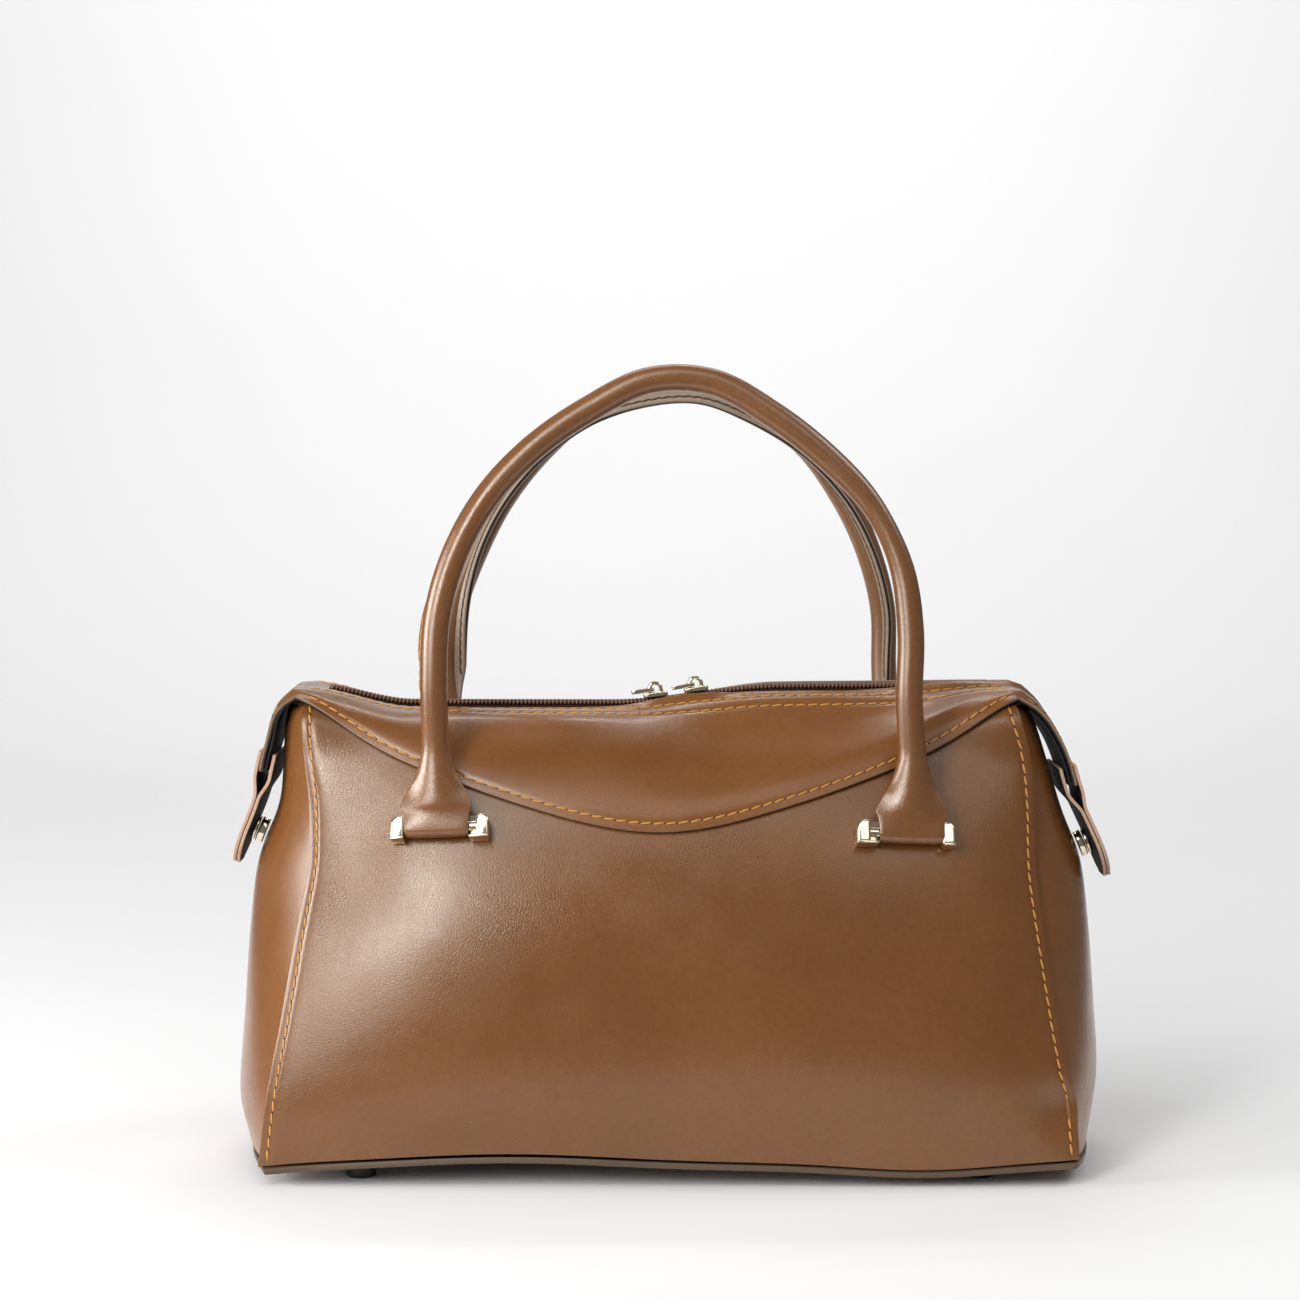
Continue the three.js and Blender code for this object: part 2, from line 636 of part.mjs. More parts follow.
function tape(side) {
  const us = steps(ZIP_STEPS).map((share) => side * (1 - 2 * share) * TAPE.ends);
  const edge = CHAIN.half + GAP;
  const grid = us.map((u) => {
    const zipEdge = skin(u, 1, side);
    const outer = girthAt(u, side, TAPE.outer - SLOT.halfWidth);
    const lap = steps(2).map((share) => skin(u, lerp(outer, 1, share), side));
    return [...lap, vec(zipEdge.x, side * edge, zipEdge.z)];
  });
  return wall(grid, TAPE.thick);
}

function chain() {
  const rings = steps(ZIP_STEPS).map((share) => {
    const { x, z } = ridge(CHAIN.halfLength * (2 * share - 1));
    const corner = (y, lift) => vec(x, y, z + lift);
    return [
      corner(-CHAIN.half, CHAIN.foot),
      corner(CHAIN.half, CHAIN.foot),
      corner(CHAIN.half, CHAIN.top),
      corner(-CHAIN.half, CHAIN.top),
    ];
  });
  return loft(rings);
}

// A slider: a rounded plate over the chain with a half-round hoop that the pull swings on
const sliderBottom = CHAIN.top + 1.3 * GAP;
const hoopLift = sliderBottom + SLIDER.thick + SLIDER.lift;

function roundedPlate(length, width, corner) {
  const [x, y] = [length / 2, width / 2];
  const shape = new THREE.Shape();
  shape.moveTo(-x + corner, -y);
  shape.lineTo(x - corner, -y);
  shape.absarc(x - corner, -y + corner, corner, -Math.PI / 2, 0);
  shape.lineTo(x, y - corner);
  shape.absarc(x - corner, y - corner, corner, 0, Math.PI / 2);
  shape.lineTo(-x + corner, y);
  shape.absarc(-x + corner, y - corner, corner, Math.PI / 2, Math.PI);
  shape.lineTo(-x, -y + corner);
  shape.absarc(-x + corner, -y + corner, corner, Math.PI, 1.5 * Math.PI);
  return shape;
}

function plateOf(shape, depth) {
  return new THREE.ExtrudeGeometry(shape, { depth, bevelEnabled: false, curveSegments: 4 });
}

function slider() {
  const shape = roundedPlate(SLIDER.length, SLIDER.width, SLIDER.corner);
  const plate = plateOf(shape, SLIDER.thick).translate(0, 0, sliderBottom);
  const legs = SLIDER.lift + SLIDER.thick / 2;
  const bend = steps(10).map((share) => ({ angle: Math.PI * share, drop: 0 }));
  const route = [{ angle: 0, drop: legs }, ...bend, { angle: Math.PI, drop: legs }];
  const hoop = route.map(({ angle, drop }) => {
    const out = vec(Math.cos(angle), 0, Math.sin(angle));
    const at = out.clone().multiplyScalar(SLIDER.hoop).add(vec(0, 0, hoopLift - drop));
    return steps(8).slice(1).map((share) => {
      const turn = 2 * Math.PI * share;
      const offset = out.clone().multiplyScalar(Math.cos(turn)).add(vec(0, Math.sin(turn), 0));
      return at.clone().addScaledVector(offset, SLIDER.wire);
    });
  });
  return joined(plate, loft(hoop));
}

// A pull: a flat tab with an eye, its length along +X from the hinge
function pull() {
  const shape = roundedPlate(PULL.far - PULL.near, PULL.width, PULL.corner);
  const hole = roundedPlate(EYE.far - EYE.near, EYE.width, EYE.corner);
  const shift = (EYE.near + EYE.far - PULL.near - PULL.far) / 2;
  shape.holes.push(new THREE.Path(hole.getPoints(2).map((p) => p.clone().setX(p.x + shift))));
  return plateOf(shape, PULL.thick).translate((PULL.near + PULL.far) / 2, 0, -PULL.thick / 2);
}

// Assembly
const bag = new THREE.Group();

function add(name, geometry, material) {
  const mesh = new THREE.Mesh(geometry, material);
  mesh.name = name;
  bag.add(mesh);
  return mesh;
}

function stand(mesh, origin, along, up, out) {
  mesh.quaternion.setFromRotationMatrix(new THREE.Matrix4().makeBasis(along, up, out));
  mesh.position.copy(origin);
}

const ENDS = [
  { end: "left", hand: -1 },
  { end: "right", hand: 1 },
];
const FACES = [
  { face: "front", side: -1, table: FRONT_HANDLE },
  { face: "back", side: 1, table: BACK_HANDLE },
];

add("top_panel", topPanel(), tanLeather);
add("base_panel", basePanel(), tanLeather);
add("zip_chain", chain(), zipChain);

for (const { face, side, table } of FACES) {
  add(`${face}_panel`, panel(side), tanLeather);
  add(`zip_tape_${face}`, tape(side), zipTape);
  add(`handle_${face}`, rolledHandle(table, side), tanLeather);
  for (const { end, hand } of ENDS) {
    const { origin, along, up, out } = bridgeFrame(hand * BRIDGE.x, side);
    stand(add(`bridge_${face}_${end}`, bridge, paleGold), origin, along, up, out);
    add(`foot_${face}_${end}`, foot, darkFoot).position.set(hand * FOOT_PLACE.x, side * FOOT_PLACE.y, 0);
  }
}

for (const { end, hand } of ENDS) {
  add(`gusset_${end}`, gusset(hand), tanLeather);
  add(`strap_lining_${end}`, strapLining(hand), darkLining);
  add(`tab_outer_${end}`, tabLayer(hand, (t) => tabOuterFace(t) + TAB_LEATHER), tanLeather);
  add(`tab_inner_${end}`, tabLayer(hand, tabInnerFace), tanLeather);
  const { inner, inward } = snapFrame(hand);
  const up = vec(0, 1, 0);
  for (const [name, geometry] of [["socket", snapSocket], ["stud", snapStud]]) {
    stand(add(`snap_${name}_${end}`, geometry, paleGold), inner, up.clone().cross(inward), up, inward);
  }
}

// Each slider and its pull lean with the ridge that they stand on
for (const { side, x } of SLIDERS) {
  const reach = SLIDER.length / 2;
  const rise = vec(reach * 2, 0, ridge(x + reach).z - ridge(x - reach).z).normalize();
  const [seat, back] = [ridge(x).setY(0), vec(0, 1, 0)];
  const out = rise.clone().cross(back);
  stand(add(`zip_slider_${side}`, slider(), paleGold), seat, rise, back, out);
  const droop = THREE.MathUtils.degToRad(PULL.droop);
  const along = rise.clone().multiplyScalar(-Math.cos(droop)).addScaledVector(out, -Math.sin(droop));
  const hinge = seat.clone().addScaledVector(out, hoopLift);
  const front = vec(0, -1, 0);
  stand(add(`zip_pull_${side}`, pull(), paleGold), hinge, along, front, along.clone().cross(front));
}

export default bag;
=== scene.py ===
# %% [markdown]
# # A tan leather zip-top handbag
#
# This lesson dresses a plain CAD frame of a handbag in leather, thread, nylon and metal. The frame holds
# the true sizes. Each piece below is laid over its CAD node, and takes that node's place in the picture.

# %% Load the frame
import math

import bpy
import numpy as np
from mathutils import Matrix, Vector


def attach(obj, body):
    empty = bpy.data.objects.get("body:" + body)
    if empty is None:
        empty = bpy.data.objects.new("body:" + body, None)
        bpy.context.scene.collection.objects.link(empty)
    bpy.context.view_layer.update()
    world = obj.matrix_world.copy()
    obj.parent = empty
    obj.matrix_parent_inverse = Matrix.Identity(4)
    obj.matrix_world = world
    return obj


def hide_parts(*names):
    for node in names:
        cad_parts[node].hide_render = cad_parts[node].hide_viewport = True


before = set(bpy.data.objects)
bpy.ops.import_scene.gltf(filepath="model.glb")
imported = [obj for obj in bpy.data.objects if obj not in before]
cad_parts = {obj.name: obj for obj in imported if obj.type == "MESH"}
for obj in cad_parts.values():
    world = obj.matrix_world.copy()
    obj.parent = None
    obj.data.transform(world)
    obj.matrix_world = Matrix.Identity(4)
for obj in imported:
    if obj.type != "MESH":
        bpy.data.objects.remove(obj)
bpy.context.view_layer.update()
MM = 0.001

# %% [markdown]
# ## The camera
#
# The photo is square and taken from a little above the handles with a long lens. A long lens far away keeps
# the bag's upright lines nearly parallel, as they are in the photo.

# %% Camera
CAMERA_AT = (-0.0079, -1.275, 0.290)
CAMERA_DOWN = 3.84
CAMERA_LENS, CAMERA_SENSOR = 86.95, 36

bpy.ops.object.camera_add(location=CAMERA_AT, rotation=(math.radians(90 - CAMERA_DOWN), 0, 0))
camera = bpy.context.object
camera.data.lens = CAMERA_LENS
camera.data.sensor_width = CAMERA_SENSOR
bpy.context.scene.camera = camera
bpy.context.scene.view_settings.view_transform = "Standard"
print("camera lens in mm:", camera.data.lens)

# %% [markdown]
# ## The studio
#
# Product pictures of this kind are shot on a white sweep, a sheet that curves up behind the object so that
# no horizon shows. It is made from one plane: its back edge is extruded upwards and the corner is bevelled
# round. Its front is narrow and ends close to the bag, so that little light comes back up from it. An apron
# just below carries the floor on for views from other sides. Only the camera sees the apron, so it throws
# no light.

# %% The white sweep
SWEEP_LONG, SWEEP_WIDE, SWEEP_FRONT = 3.3, 2.0, 0.36
SWEEP_BACK, SWEEP_HEIGHT = 3.0, 2.4
SWEEP_ROUND, SWEEP_STEPS = 1.6, 24
APRON_WIDE, APRON_BELOW, APRON_CUTS = 6.0, 0.0015, 3
CLOSE = 0.01


def clear_selection():
    if bpy.context.object and bpy.context.object.mode != "OBJECT":
        bpy.ops.object.mode_set(mode="OBJECT")
    bpy.ops.object.select_all(action="DESELECT")


def take(piece):
    clear_selection()
    bpy.context.view_layer.objects.active = piece
    piece.select_set(True)


def edit(piece, kind):
    take(piece)
    bpy.ops.object.mode_set(mode="EDIT")
    bpy.context.tool_settings.mesh_select_mode = [kind == name for name in ("VERT", "EDGE", "FACE")]
    bpy.ops.mesh.select_all(action="DESELECT")
    bpy.ops.object.mode_set(mode="OBJECT")


def pick(piece, kind, wanted):
    edit(piece, kind)
    parts = {"VERT": piece.data.vertices, "EDGE": piece.data.edges, "FACE": piece.data.polygons}[kind]
    for part in parts:
        part.select = bool(wanted(part))
    bpy.ops.object.mode_set(mode="EDIT")


def middle_of(piece, part):
    corners = [piece.data.vertices[i].co for i in part.vertices]
    return sum(corners, Vector()) / len(corners)


clear_selection()
bpy.ops.mesh.primitive_plane_add(size=1, location=(0, SWEEP_BACK - SWEEP_LONG / 2, 0))
sweep = bpy.context.object
sweep.scale = (SWEEP_WIDE, SWEEP_LONG, 1)
sweep.name = "white_sweep"
bpy.ops.object.transform_apply()
pick(sweep, "VERT", lambda corner: corner.co.y < SWEEP_BACK - CLOSE)
bpy.ops.transform.resize(value=(SWEEP_FRONT, 1, 1))
bpy.ops.object.mode_set(mode="OBJECT")
at_back = lambda edge: middle_of(sweep, edge).y > SWEEP_BACK - CLOSE
pick(sweep, "EDGE", at_back)
bpy.ops.mesh.extrude_region_move(TRANSFORM_OT_translate={"value": (0, 0, SWEEP_HEIGHT)})
bpy.ops.object.mode_set(mode="OBJECT")
pick(sweep, "EDGE", lambda edge: at_back(edge) and middle_of(sweep, edge).z < CLOSE)
bpy.ops.mesh.bevel(offset=SWEEP_ROUND, segments=SWEEP_STEPS, affect="EDGES")
bpy.ops.object.mode_set(mode="OBJECT")
bpy.ops.object.shade_smooth()

clear_selection()
bpy.ops.mesh.primitive_plane_add(size=APRON_WIDE, location=(0, 0, -APRON_BELOW))
apron = bpy.context.object
apron.name = "floor_apron"
bpy.ops.object.transform_apply()
bpy.ops.object.mode_set(mode="EDIT")
bpy.ops.mesh.subdivide(number_cuts=APRON_CUTS)
bpy.ops.object.mode_set(mode="OBJECT")
apron.visible_diffuse = apron.visible_glossy = False
print("sweep and apron faces:", len(sweep.data.polygons), len(apron.data.polygons))

# %% [markdown]
# ## The light
#
# The bag's left end is much brighter than its right one, and a soft shine lies on the left of the front. So
# a large soft lamp stands at the left, and four smaller ones at the front left make the shine. Three weaker
# ones light the front from above, one at the right whitens the floor, one lights the backdrop, and a weak
# even sky fills the shadows. A lamp is given by how bright its face is, so its size can change without
# changing that.

# %% Lamps and sky
SKY_STRENGTH = 0.17
BAG_MIDDLE = (0, 0, 0.12)
LAMPS = [
    # name, place, aim, width, height, radiance
    ("side_left", (-1.5, -0.3, 0.45), BAG_MIDDLE, 0.8, 0.7, 10.3),
    ("shine_low", (-0.792, -1.372, 0.343), BAG_MIDDLE, 0.36, 0.42, 3.9),
    ("shine_middle", (-0.674, -1.322, 0.719), BAG_MIDDLE, 0.36, 0.42, 14.5),
    ("shine_high", (-0.588, -1.153, 1.060), BAG_MIDDLE, 0.36, 0.42, 7.4),
    ("shine_side", (-1.039, -1.153, 0.507), BAG_MIDDLE, 0.36, 0.42, 6.4),
    ("front_high", (-0.366, -1.006, 1.309), BAG_MIDDLE, 0.42, 0.42, 3.4),
    ("front_top", (0, -0.848, 1.477), BAG_MIDDLE, 0.8, 0.5, 1.3),
    ("front_right", (0.518, -1.111, 1.148), BAG_MIDDLE, 0.5, 0.5, 1.5),
    ("floor_right", (1.1, 0.1, 1.2), (0.3, 0.05, 0), 0.7, 0.7, 3.3),
    ("backdrop", (0, 1.7, 2.7), (0, 3.0, 0.9), 2.0, 0.8, 8.5),
]

world = bpy.data.worlds.new("studio_sky")
world.use_nodes = True
world.node_tree.nodes["Background"].inputs["Color"].default_value = (1, 1, 1, 1)
world.node_tree.nodes["Background"].inputs["Strength"].default_value = SKY_STRENGTH
bpy.context.scene.world = world

for name, place, aim, width, height, radiance in LAMPS:
    turn = (Vector(aim) - Vector(place)).to_track_quat("-Z", "Y").to_euler()
    bpy.ops.object.light_add(type="AREA", location=place, rotation=turn)
    lamp = bpy.context.object
    lamp.name = name
    lamp.data.shape = "RECTANGLE"
    lamp.data.size, lamp.data.size_y = width, height
    lamp.data.energy = radiance * math.pi * width * height
print("lamps:", [row[0] for row in LAMPS])

# %% [markdown]
# ## Finishes
#
# A finish is a small net of nodes. All of them read object coordinates in metres, so a pore is the same
# size on every piece. The first helper starts a finish, the second adds a node to it and the third joins
# two sockets.

# %% Helpers for finishes
def start_finish(name, colour, roughness, metallic=0.0):
    look = bpy.data.materials.new(name)
    look.use_nodes = True
    shader = look.node_tree.nodes["Principled BSDF"]
    shader.inputs["Base Color"].default_value = (*colour, 1)
    shader.inputs["Roughness"].default_value = roughness
    shader.inputs["Metallic"].default_value = metallic
    return look, shader


def put(look, kind, values=(), **settings):
    node = look.node_tree.nodes.new(kind)
    for key, value in settings.items():
        setattr(node, key, value)
    for key, value in dict(values).items():
        node.inputs[key].default_value = value
    return node


def wire(look, source, target):
    look.node_tree.links.new(source, target)


def place_in(look):
    return put(look, "ShaderNodeTexCoord").outputs["Object"]


def noise(look, scale, detail=3.0, roughness=0.55):
    node = put(look, "ShaderNodeTexNoise", {"Scale": scale, "Detail": detail, "Roughness": roughness})
    wire(look, place_in(look), node.inputs["Vector"])
    return node.outputs["Fac"]


def spread(look, source, low, high, to_low=0.0, to_high=1.0):
    values = {"From Min": low, "From Max": high, "To Min": to_low, "To Max": to_high}
    node = put(look, "ShaderNodeMapRange", values)
    wire(look, source, node.inputs["Value"])
    return node.outputs["Result"]


def blend_colours(look, share, first, second, mode="MIX"):
    node = put(look, "ShaderNodeMix", data_type="RGBA", blend_type=mode)
    for socket, value in ((node.inputs["Factor"], share), (node.inputs[6], first), (node.inputs[7], second)):
        if isinstance(value, bpy.types.NodeSocket):
            wire(look, value, socket)
        elif isinstance(value, (int, float)):
            socket.default_value = value
        else:
            socket.default_value = (*value, 1)
    return node.outputs[2]


def bump(look, shader, height, strength, distance):
    node = put(look, "ShaderNodeBump", {"Strength": strength, "Distance": distance})
    wire(look, height, node.inputs["Height"])
    wire(look, node.outputs["Normal"], shader.inputs["Normal"])


def add_up(look, first, second, weight):
    node = put(look, "ShaderNodeMath", {2: 0.0}, operation="MULTIPLY_ADD")
    wire(look, second, node.inputs[0])
    node.inputs[1].default_value = weight
    wire(look, first, node.inputs[2])
    return node.outputs[0]


print("finish helpers ready")

# %% [markdown]
# ## Leather
#
# The bag's leather is smooth calf with a satin coat. Broad clouds in its colour come from the dye, small
# cells with fine creases between them are the grain, and a still finer noise is the pores. The grain only
# tilts the surface a little, so the shine breaks up softly. The yoke and the end walls are painted paler,
# as painted light from above that the lamps do not give, and the handles are glossier. The back handle is
# painted greyer, as painted shade and a painted reflection of the white floor.

# %% Leather finish
CLOUDS, FRECKLES, GRAIN, PATCHES, PORES = 16, 420, 950, 60, 2600
FRECKLE_SHADE, COAT = 0.72, 0.18
GRAIN_SHOWS, GRAIN_DEEP = 0.16, 0.00016


def leather_finish(name, deep, pale, roughness, gloss, coat_roughness):
    look, shader = start_finish(name, deep, roughness)
    clouds = spread(look, noise(look, CLOUDS, 4), 0.32, 0.68)
    colour = blend_colours(look, clouds, deep, pale)
    freckles = spread(look, noise(look, FRECKLES), 0.35, 0.75, 0.0, 0.35)
    colour = blend_colours(look, freckles, colour, tuple(FRECKLE_SHADE * value for value in deep))
    wire(look, colour, shader.inputs["Base Color"])
    grain = put(look, "ShaderNodeTexVoronoi", {"Scale": GRAIN, "Randomness": 1.0}, feature="DISTANCE_TO_EDGE")
    wire(look, place_in(look), grain.inputs["Vector"])
    crease = spread(look, grain.outputs["Distance"], 0.0, 0.16)
    matt = spread(look, noise(look, PATCHES, 4), 0.3, 0.7, roughness - 0.05, roughness + 0.06)
    wire(look, matt, shader.inputs["Roughness"])
    height = add_up(look, crease, noise(look, PORES, 2), 0.7)
    bump(look, shader, height, GRAIN_SHOWS, GRAIN_DEEP)
    shader.inputs["Specular IOR Level"].default_value = gloss
    shader.inputs["Coat Weight"].default_value = COAT
    shader.inputs["Coat Roughness"].default_value = coat_roughness
    shader.inputs["Specular Tint"].default_value = (*WARM_SHINE, 1)
    shader.inputs["Coat Tint"].default_value = (*WARM_SHINE, 1)
    return look


TAN_DEEP = (0.160, 0.0600, 0.0162)
TAN_PALE = (0.194, 0.0750, 0.0212)
WARM_SHINE = (1.0, 0.96, 0.86)
HANDLE_PALER, YOKE_PAINTED_LIGHT = 1.12, 1.22
EDGE_DEEP, EDGE_PALE = (0.24, 0.155, 0.095), (0.30, 0.20, 0.13)


def paler(by):
    return [tuple(by * value for value in tan) for tan in (TAN_DEEP, TAN_PALE)]


tan_leather = leather_finish("tan_leather", TAN_DEEP, TAN_PALE, 0.22, 0.66, 0.16)
# painted light: the top panel and the end walls are coloured paler than the panels, standing in for light
# from above
yoke_painted_light_leather = leather_finish("yoke_painted_light_leather", *paler(YOKE_PAINTED_LIGHT), 0.22, 0.46, 0.16)
handle_leather = leather_finish("handle_leather", *paler(HANDLE_PALER), 0.26, 1.0, 0.2)
pale_edge = leather_finish("pale_leather_edge", EDGE_DEEP, EDGE_PALE, 0.4, 0.6, 0.3)
base_leather = leather_finish("base_leather", (0.085, 0.055, 0.032), (0.12, 0.08, 0.05), 0.5, 0.4, 0.4)
# painted reflection: the back handle's welt is pale grey, standing in for the white floor mirrored in it
back_welt_painted_light = leather_finish("back_welt_painted_light_leather", (0.26, 0.19, 0.135), (0.33, 0.25, 0.185), 0.42, 0.6, 0.3)
# painted shade and reflection: the back handle's roll is greyer than the front one, standing in for shade and
# floor spill
back_handle_painted_deep, back_handle_painted_pale = (0.185, 0.084, 0.033), (0.228, 0.106, 0.043)
back_handle_painted_light = leather_finish("back_handle_painted_light_leather", back_handle_painted_deep, back_handle_painted_pale, 0.3, 0.9, 0.22)
print("leather nodes:", len(tan_leather.node_tree.nodes))

# %% [markdown]
# ## Edges, thread, cloth, nylon and metal
#
# Cut leather edges are sealed with black paint, except the tabs', which are left raw and show the pinkish
# hide. The thread is waxed golden polyester; on the back handle it is painted dark, as painted shade. The
# metal is a pale gold plate, polished so that it mirrors the studio.

# %% Small finishes
BUMP_DEEP = 0.0002
WAVE_PITCH = 0.314


def plain_finish(name, first, second, roughness, scale, metallic=0.0, bump_strength=0.1):
    look, shader = start_finish(name, first, roughness, metallic)
    grain = noise(look, scale)
    share = spread(look, grain, 0.3, 0.7)
    wire(look, blend_colours(look, share, first, second), shader.inputs["Base Color"])
    bump(look, shader, grain, bump_strength, BUMP_DEEP)
    return look


def woven_finish(name, first, second, pitch):
    look, shader = start_finish(name, first, 0.8)
    threads = {"Scale": WAVE_PITCH / pitch, "Distortion": 0.4}
    across, along = (put(look, "ShaderNodeTexWave", threads, bands_direction=way) for way in "XY")
    wire(look, place_in(look), across.inputs["Vector"])
    wire(look, place_in(look), along.inputs["Vector"])
    weave = add_up(look, across.outputs["Fac"], along.outputs["Fac"], 1.0)
    wire(look, blend_colours(look, spread(look, weave, 0.2, 1.8), first, second), shader.inputs["Base Color"])
    bump(look, shader, weave, 0.5, BUMP_DEEP)
    return look


edge_paint = plain_finish("black_edge_paint", (0.008, 0.006, 0.005), (0.016, 0.012, 0.010), 0.45, 900)
raw_edge = plain_finish("raw_hide_edge", (0.52, 0.32, 0.22), (0.66, 0.44, 0.32), 0.8, 1400, 0, 0.4)
golden_thread = plain_finish("golden_thread", (0.50, 0.22, 0.035), (0.66, 0.33, 0.07), 0.5, 2200, 0, 0.5)
# painted shade: the back welt's stitches are the golden thread, coloured dark for the shade on them
shaded_thread = plain_finish("shaded_thread", (0.06, 0.035, 0.02), (0.09, 0.05, 0.03), 0.6, 2200, 0, 0.5)
# painted shade: the needle holes are dark beads on the surface that stand in for the shade inside each hole
needle_hole_shade = plain_finish("needle_hole_shade", (0.022, 0.008, 0.003), (0.035, 0.013, 0.005), 0.9, 900)
pale_gold = plain_finish("pale_gold", (0.83, 0.73, 0.54), (0.88, 0.79, 0.61), 0.11, 300, 1.0, 0.002)
nylon_coil = plain_finish("nylon_coil", (0.13, 0.055, 0.030), (0.17, 0.075, 0.040), 0.35, 700)
black_foot = plain_finish("black_foot", (0.010, 0.009, 0.009), (0.017, 0.016, 0.015), 0.4, 600)
black_lining = woven_finish("black_lining", (0.006, 0.005, 0.005), (0.014, 0.012, 0.011), 0.0006)
brown_tape = woven_finish("brown_tape", (0.085, 0.035, 0.016), (0.13, 0.058, 0.028), 0.0005)
white_paper, white_shader = start_finish("white_paper", (0.96, 0.96, 0.96), 0.9)
paper_white = spread(white_paper, noise(white_paper, 3, 2), 0.3, 0.7, 0.955, 0.965)
wire(white_paper, paper_white, white_shader.inputs["Base Color"])
for paper in (sweep, apron):
    paper.data.materials.append(white_paper)
print("finishes:", [look.name for look in bpy.data.materials if look.users])

# %% [markdown]
# ## The bag's skin
#
# One table drives all the leather walls. Its rows climb from the base seam to the zip: the depth and height
# at the middle of the front, the corner seam, and the crown of the end wall. A smooth line goes through the
# rows, and the skin bends from the middle line to the seam line with a late turn, the way a stiff panel
# does.

# %% The skin
GIRTH = np.array([
    # mid depth, mid height, seam half, seam depth, seam height, end half
    (74, 10, 158, 72, 10, 169),
    (78, 36, 155, 70, 36, 173.8),
    (78, 66, 150, 65, 66, 172.5),
    (73.5, 96, 145.5, 58, 96, 170.5),
    (66, 121, 142.5, 50.5, 121, 167.2),
    (55.5, 143, 142.5, 43.5, 143, 159),
    (43, 161, 143, 37.5, 162, 155),
    (29, 173, 142, 34, 180, 151.5),
    (16, 182, 142, 23, 186.8, 149),
    (5.5, 188, 142, 5.5, 188.5, 147),
], float)
CORNER_POWER = 3.2
BULGE_POWER = 2.2
RIDGE_WAVES = [
    # depth, where it starts, where it stops
    (6.5, (-146, -104), (-22, 45)),
    (-0.2, (35, 65), (115, 140)),
]
RIDGE_FROM = 0.7
LEAN, LEAN_FROM, LEAN_TO = -4.6, 140, 190
LEATHER = 1.8
GAP = 0.35


def line_through(rows, share):
    rows = np.asarray(rows, float)
    share = np.asarray(share, float)
    ends = np.vstack([2 * rows[0] - rows[1], rows, 2 * rows[-1] - rows[-2]])
    place = np.clip(share, 0, 1) * (len(rows) - 1)
    first = np.minimum(place.astype(int), len(rows) - 2)
    f = (place - first)[..., None]
    a, b, c, d = (ends[first + k] for k in range(4))
    return 0.5 * (2 * b + (c - a) * f + (2 * a - 5 * b + 4 * c - d) * f**2 + (3 * b - a - 3 * c + d) * f**3)


def ease(value, low, high):
    share = np.clip((value - low) / (high - low), 0, 1)
    return share * share * (3 - 2 * share)


def mix(first, second, share):
    return first + (second - first) * share


def unit(vectors):
    return vectors / np.maximum(np.linalg.norm(vectors, axis=-1, keepdims=True), 1e-12)


def swell(value, middle, reach):
    return np.exp(-(((value - middle) / reach) ** 2))


def walked_along(points):
    """How far along its line each point lies."""
    return np.concatenate([[0], np.cumsum(np.linalg.norm(np.diff(points, axis=0), axis=1))])


def lean_at(z):
    return LEAN * ease(z, LEAN_FROM, LEAN_TO)


def ridge_drop(x, t):
    drop = sum(depth * ease(x, *starts) * (1 - ease(x, *stops)) for depth, starts, stops in RIDGE_WAVES)
    return drop * ease(t, RIDGE_FROM, 1)


def skin(u, t, side):
    u, t = np.broadcast_arrays(np.asarray(u, float), np.asarray(t, float))
    row = line_through(GIRTH, t)
    turn = np.abs(u) ** CORNER_POWER
    height = mix(row[..., 1], row[..., 4], turn)
    x = u * row[..., 2] + lean_at(height)
    y = side * mix(row[..., 0], row[..., 3], turn)
    return np.stack([x, y, height - ridge_drop(x, t)], -1)


def skin_out(u, t, side):
    step = 1e-3
    along = skin(u + step, t, side) - skin(u - step, t, side)
    up = skin(u, np.minimum(t + step, 1), side) - skin(u, np.maximum(t - step, 0), side)
    return unit(np.cross(along, up)) * -side


def girth_at(u, side, length):
    """The share t up the girth at a length of leather down from the zip slot, for arrays u and length."""
    u, length = np.broadcast_arrays(np.asarray(u, float), np.asarray(length, float))
    shares = np.linspace(1, 0, 161)
    found = np.empty(u.shape)
    for index in np.ndindex(u.shape):
        found[index] = np.interp(length[index], walked_along(skin(u[index], shares, side)), shares)
    return found


print("skin height in mm:", skin(0.0, 1.0, -1)[2])

# %% [markdown]
# ## Laying leather
#
# Each leather piece starts as a flat grid, as it is cut from the hide, and its points are then laid where
# the pattern says. Solidify gives it a thickness and paints the cut rim, and a small bevel rounds that rim.

# %% Helpers for leather
FACES = (("front", -1), ("back", 1))
HANDS = (("left", -1), ("right", 1))


def finish_mesh(piece, kind, **settings):
    modifier = piece.modifiers.new(kind.lower(), kind)
    for key, value in settings.items():
        setattr(modifier, key, value)
    take(piece)
    bpy.ops.object.modifier_apply(modifier=modifier.name)


def smooth_shade(piece, degrees=40):
    take(piece)
    bpy.ops.object.shade_smooth_by_angle(angle=math.radians(degrees))


def settle(piece, slot, *nodes, body="bag"):
    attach(piece, body)
    if nodes:
        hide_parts(*nodes)
    print(piece.name, "faces:", len(piece.data.polygons))
    return piece


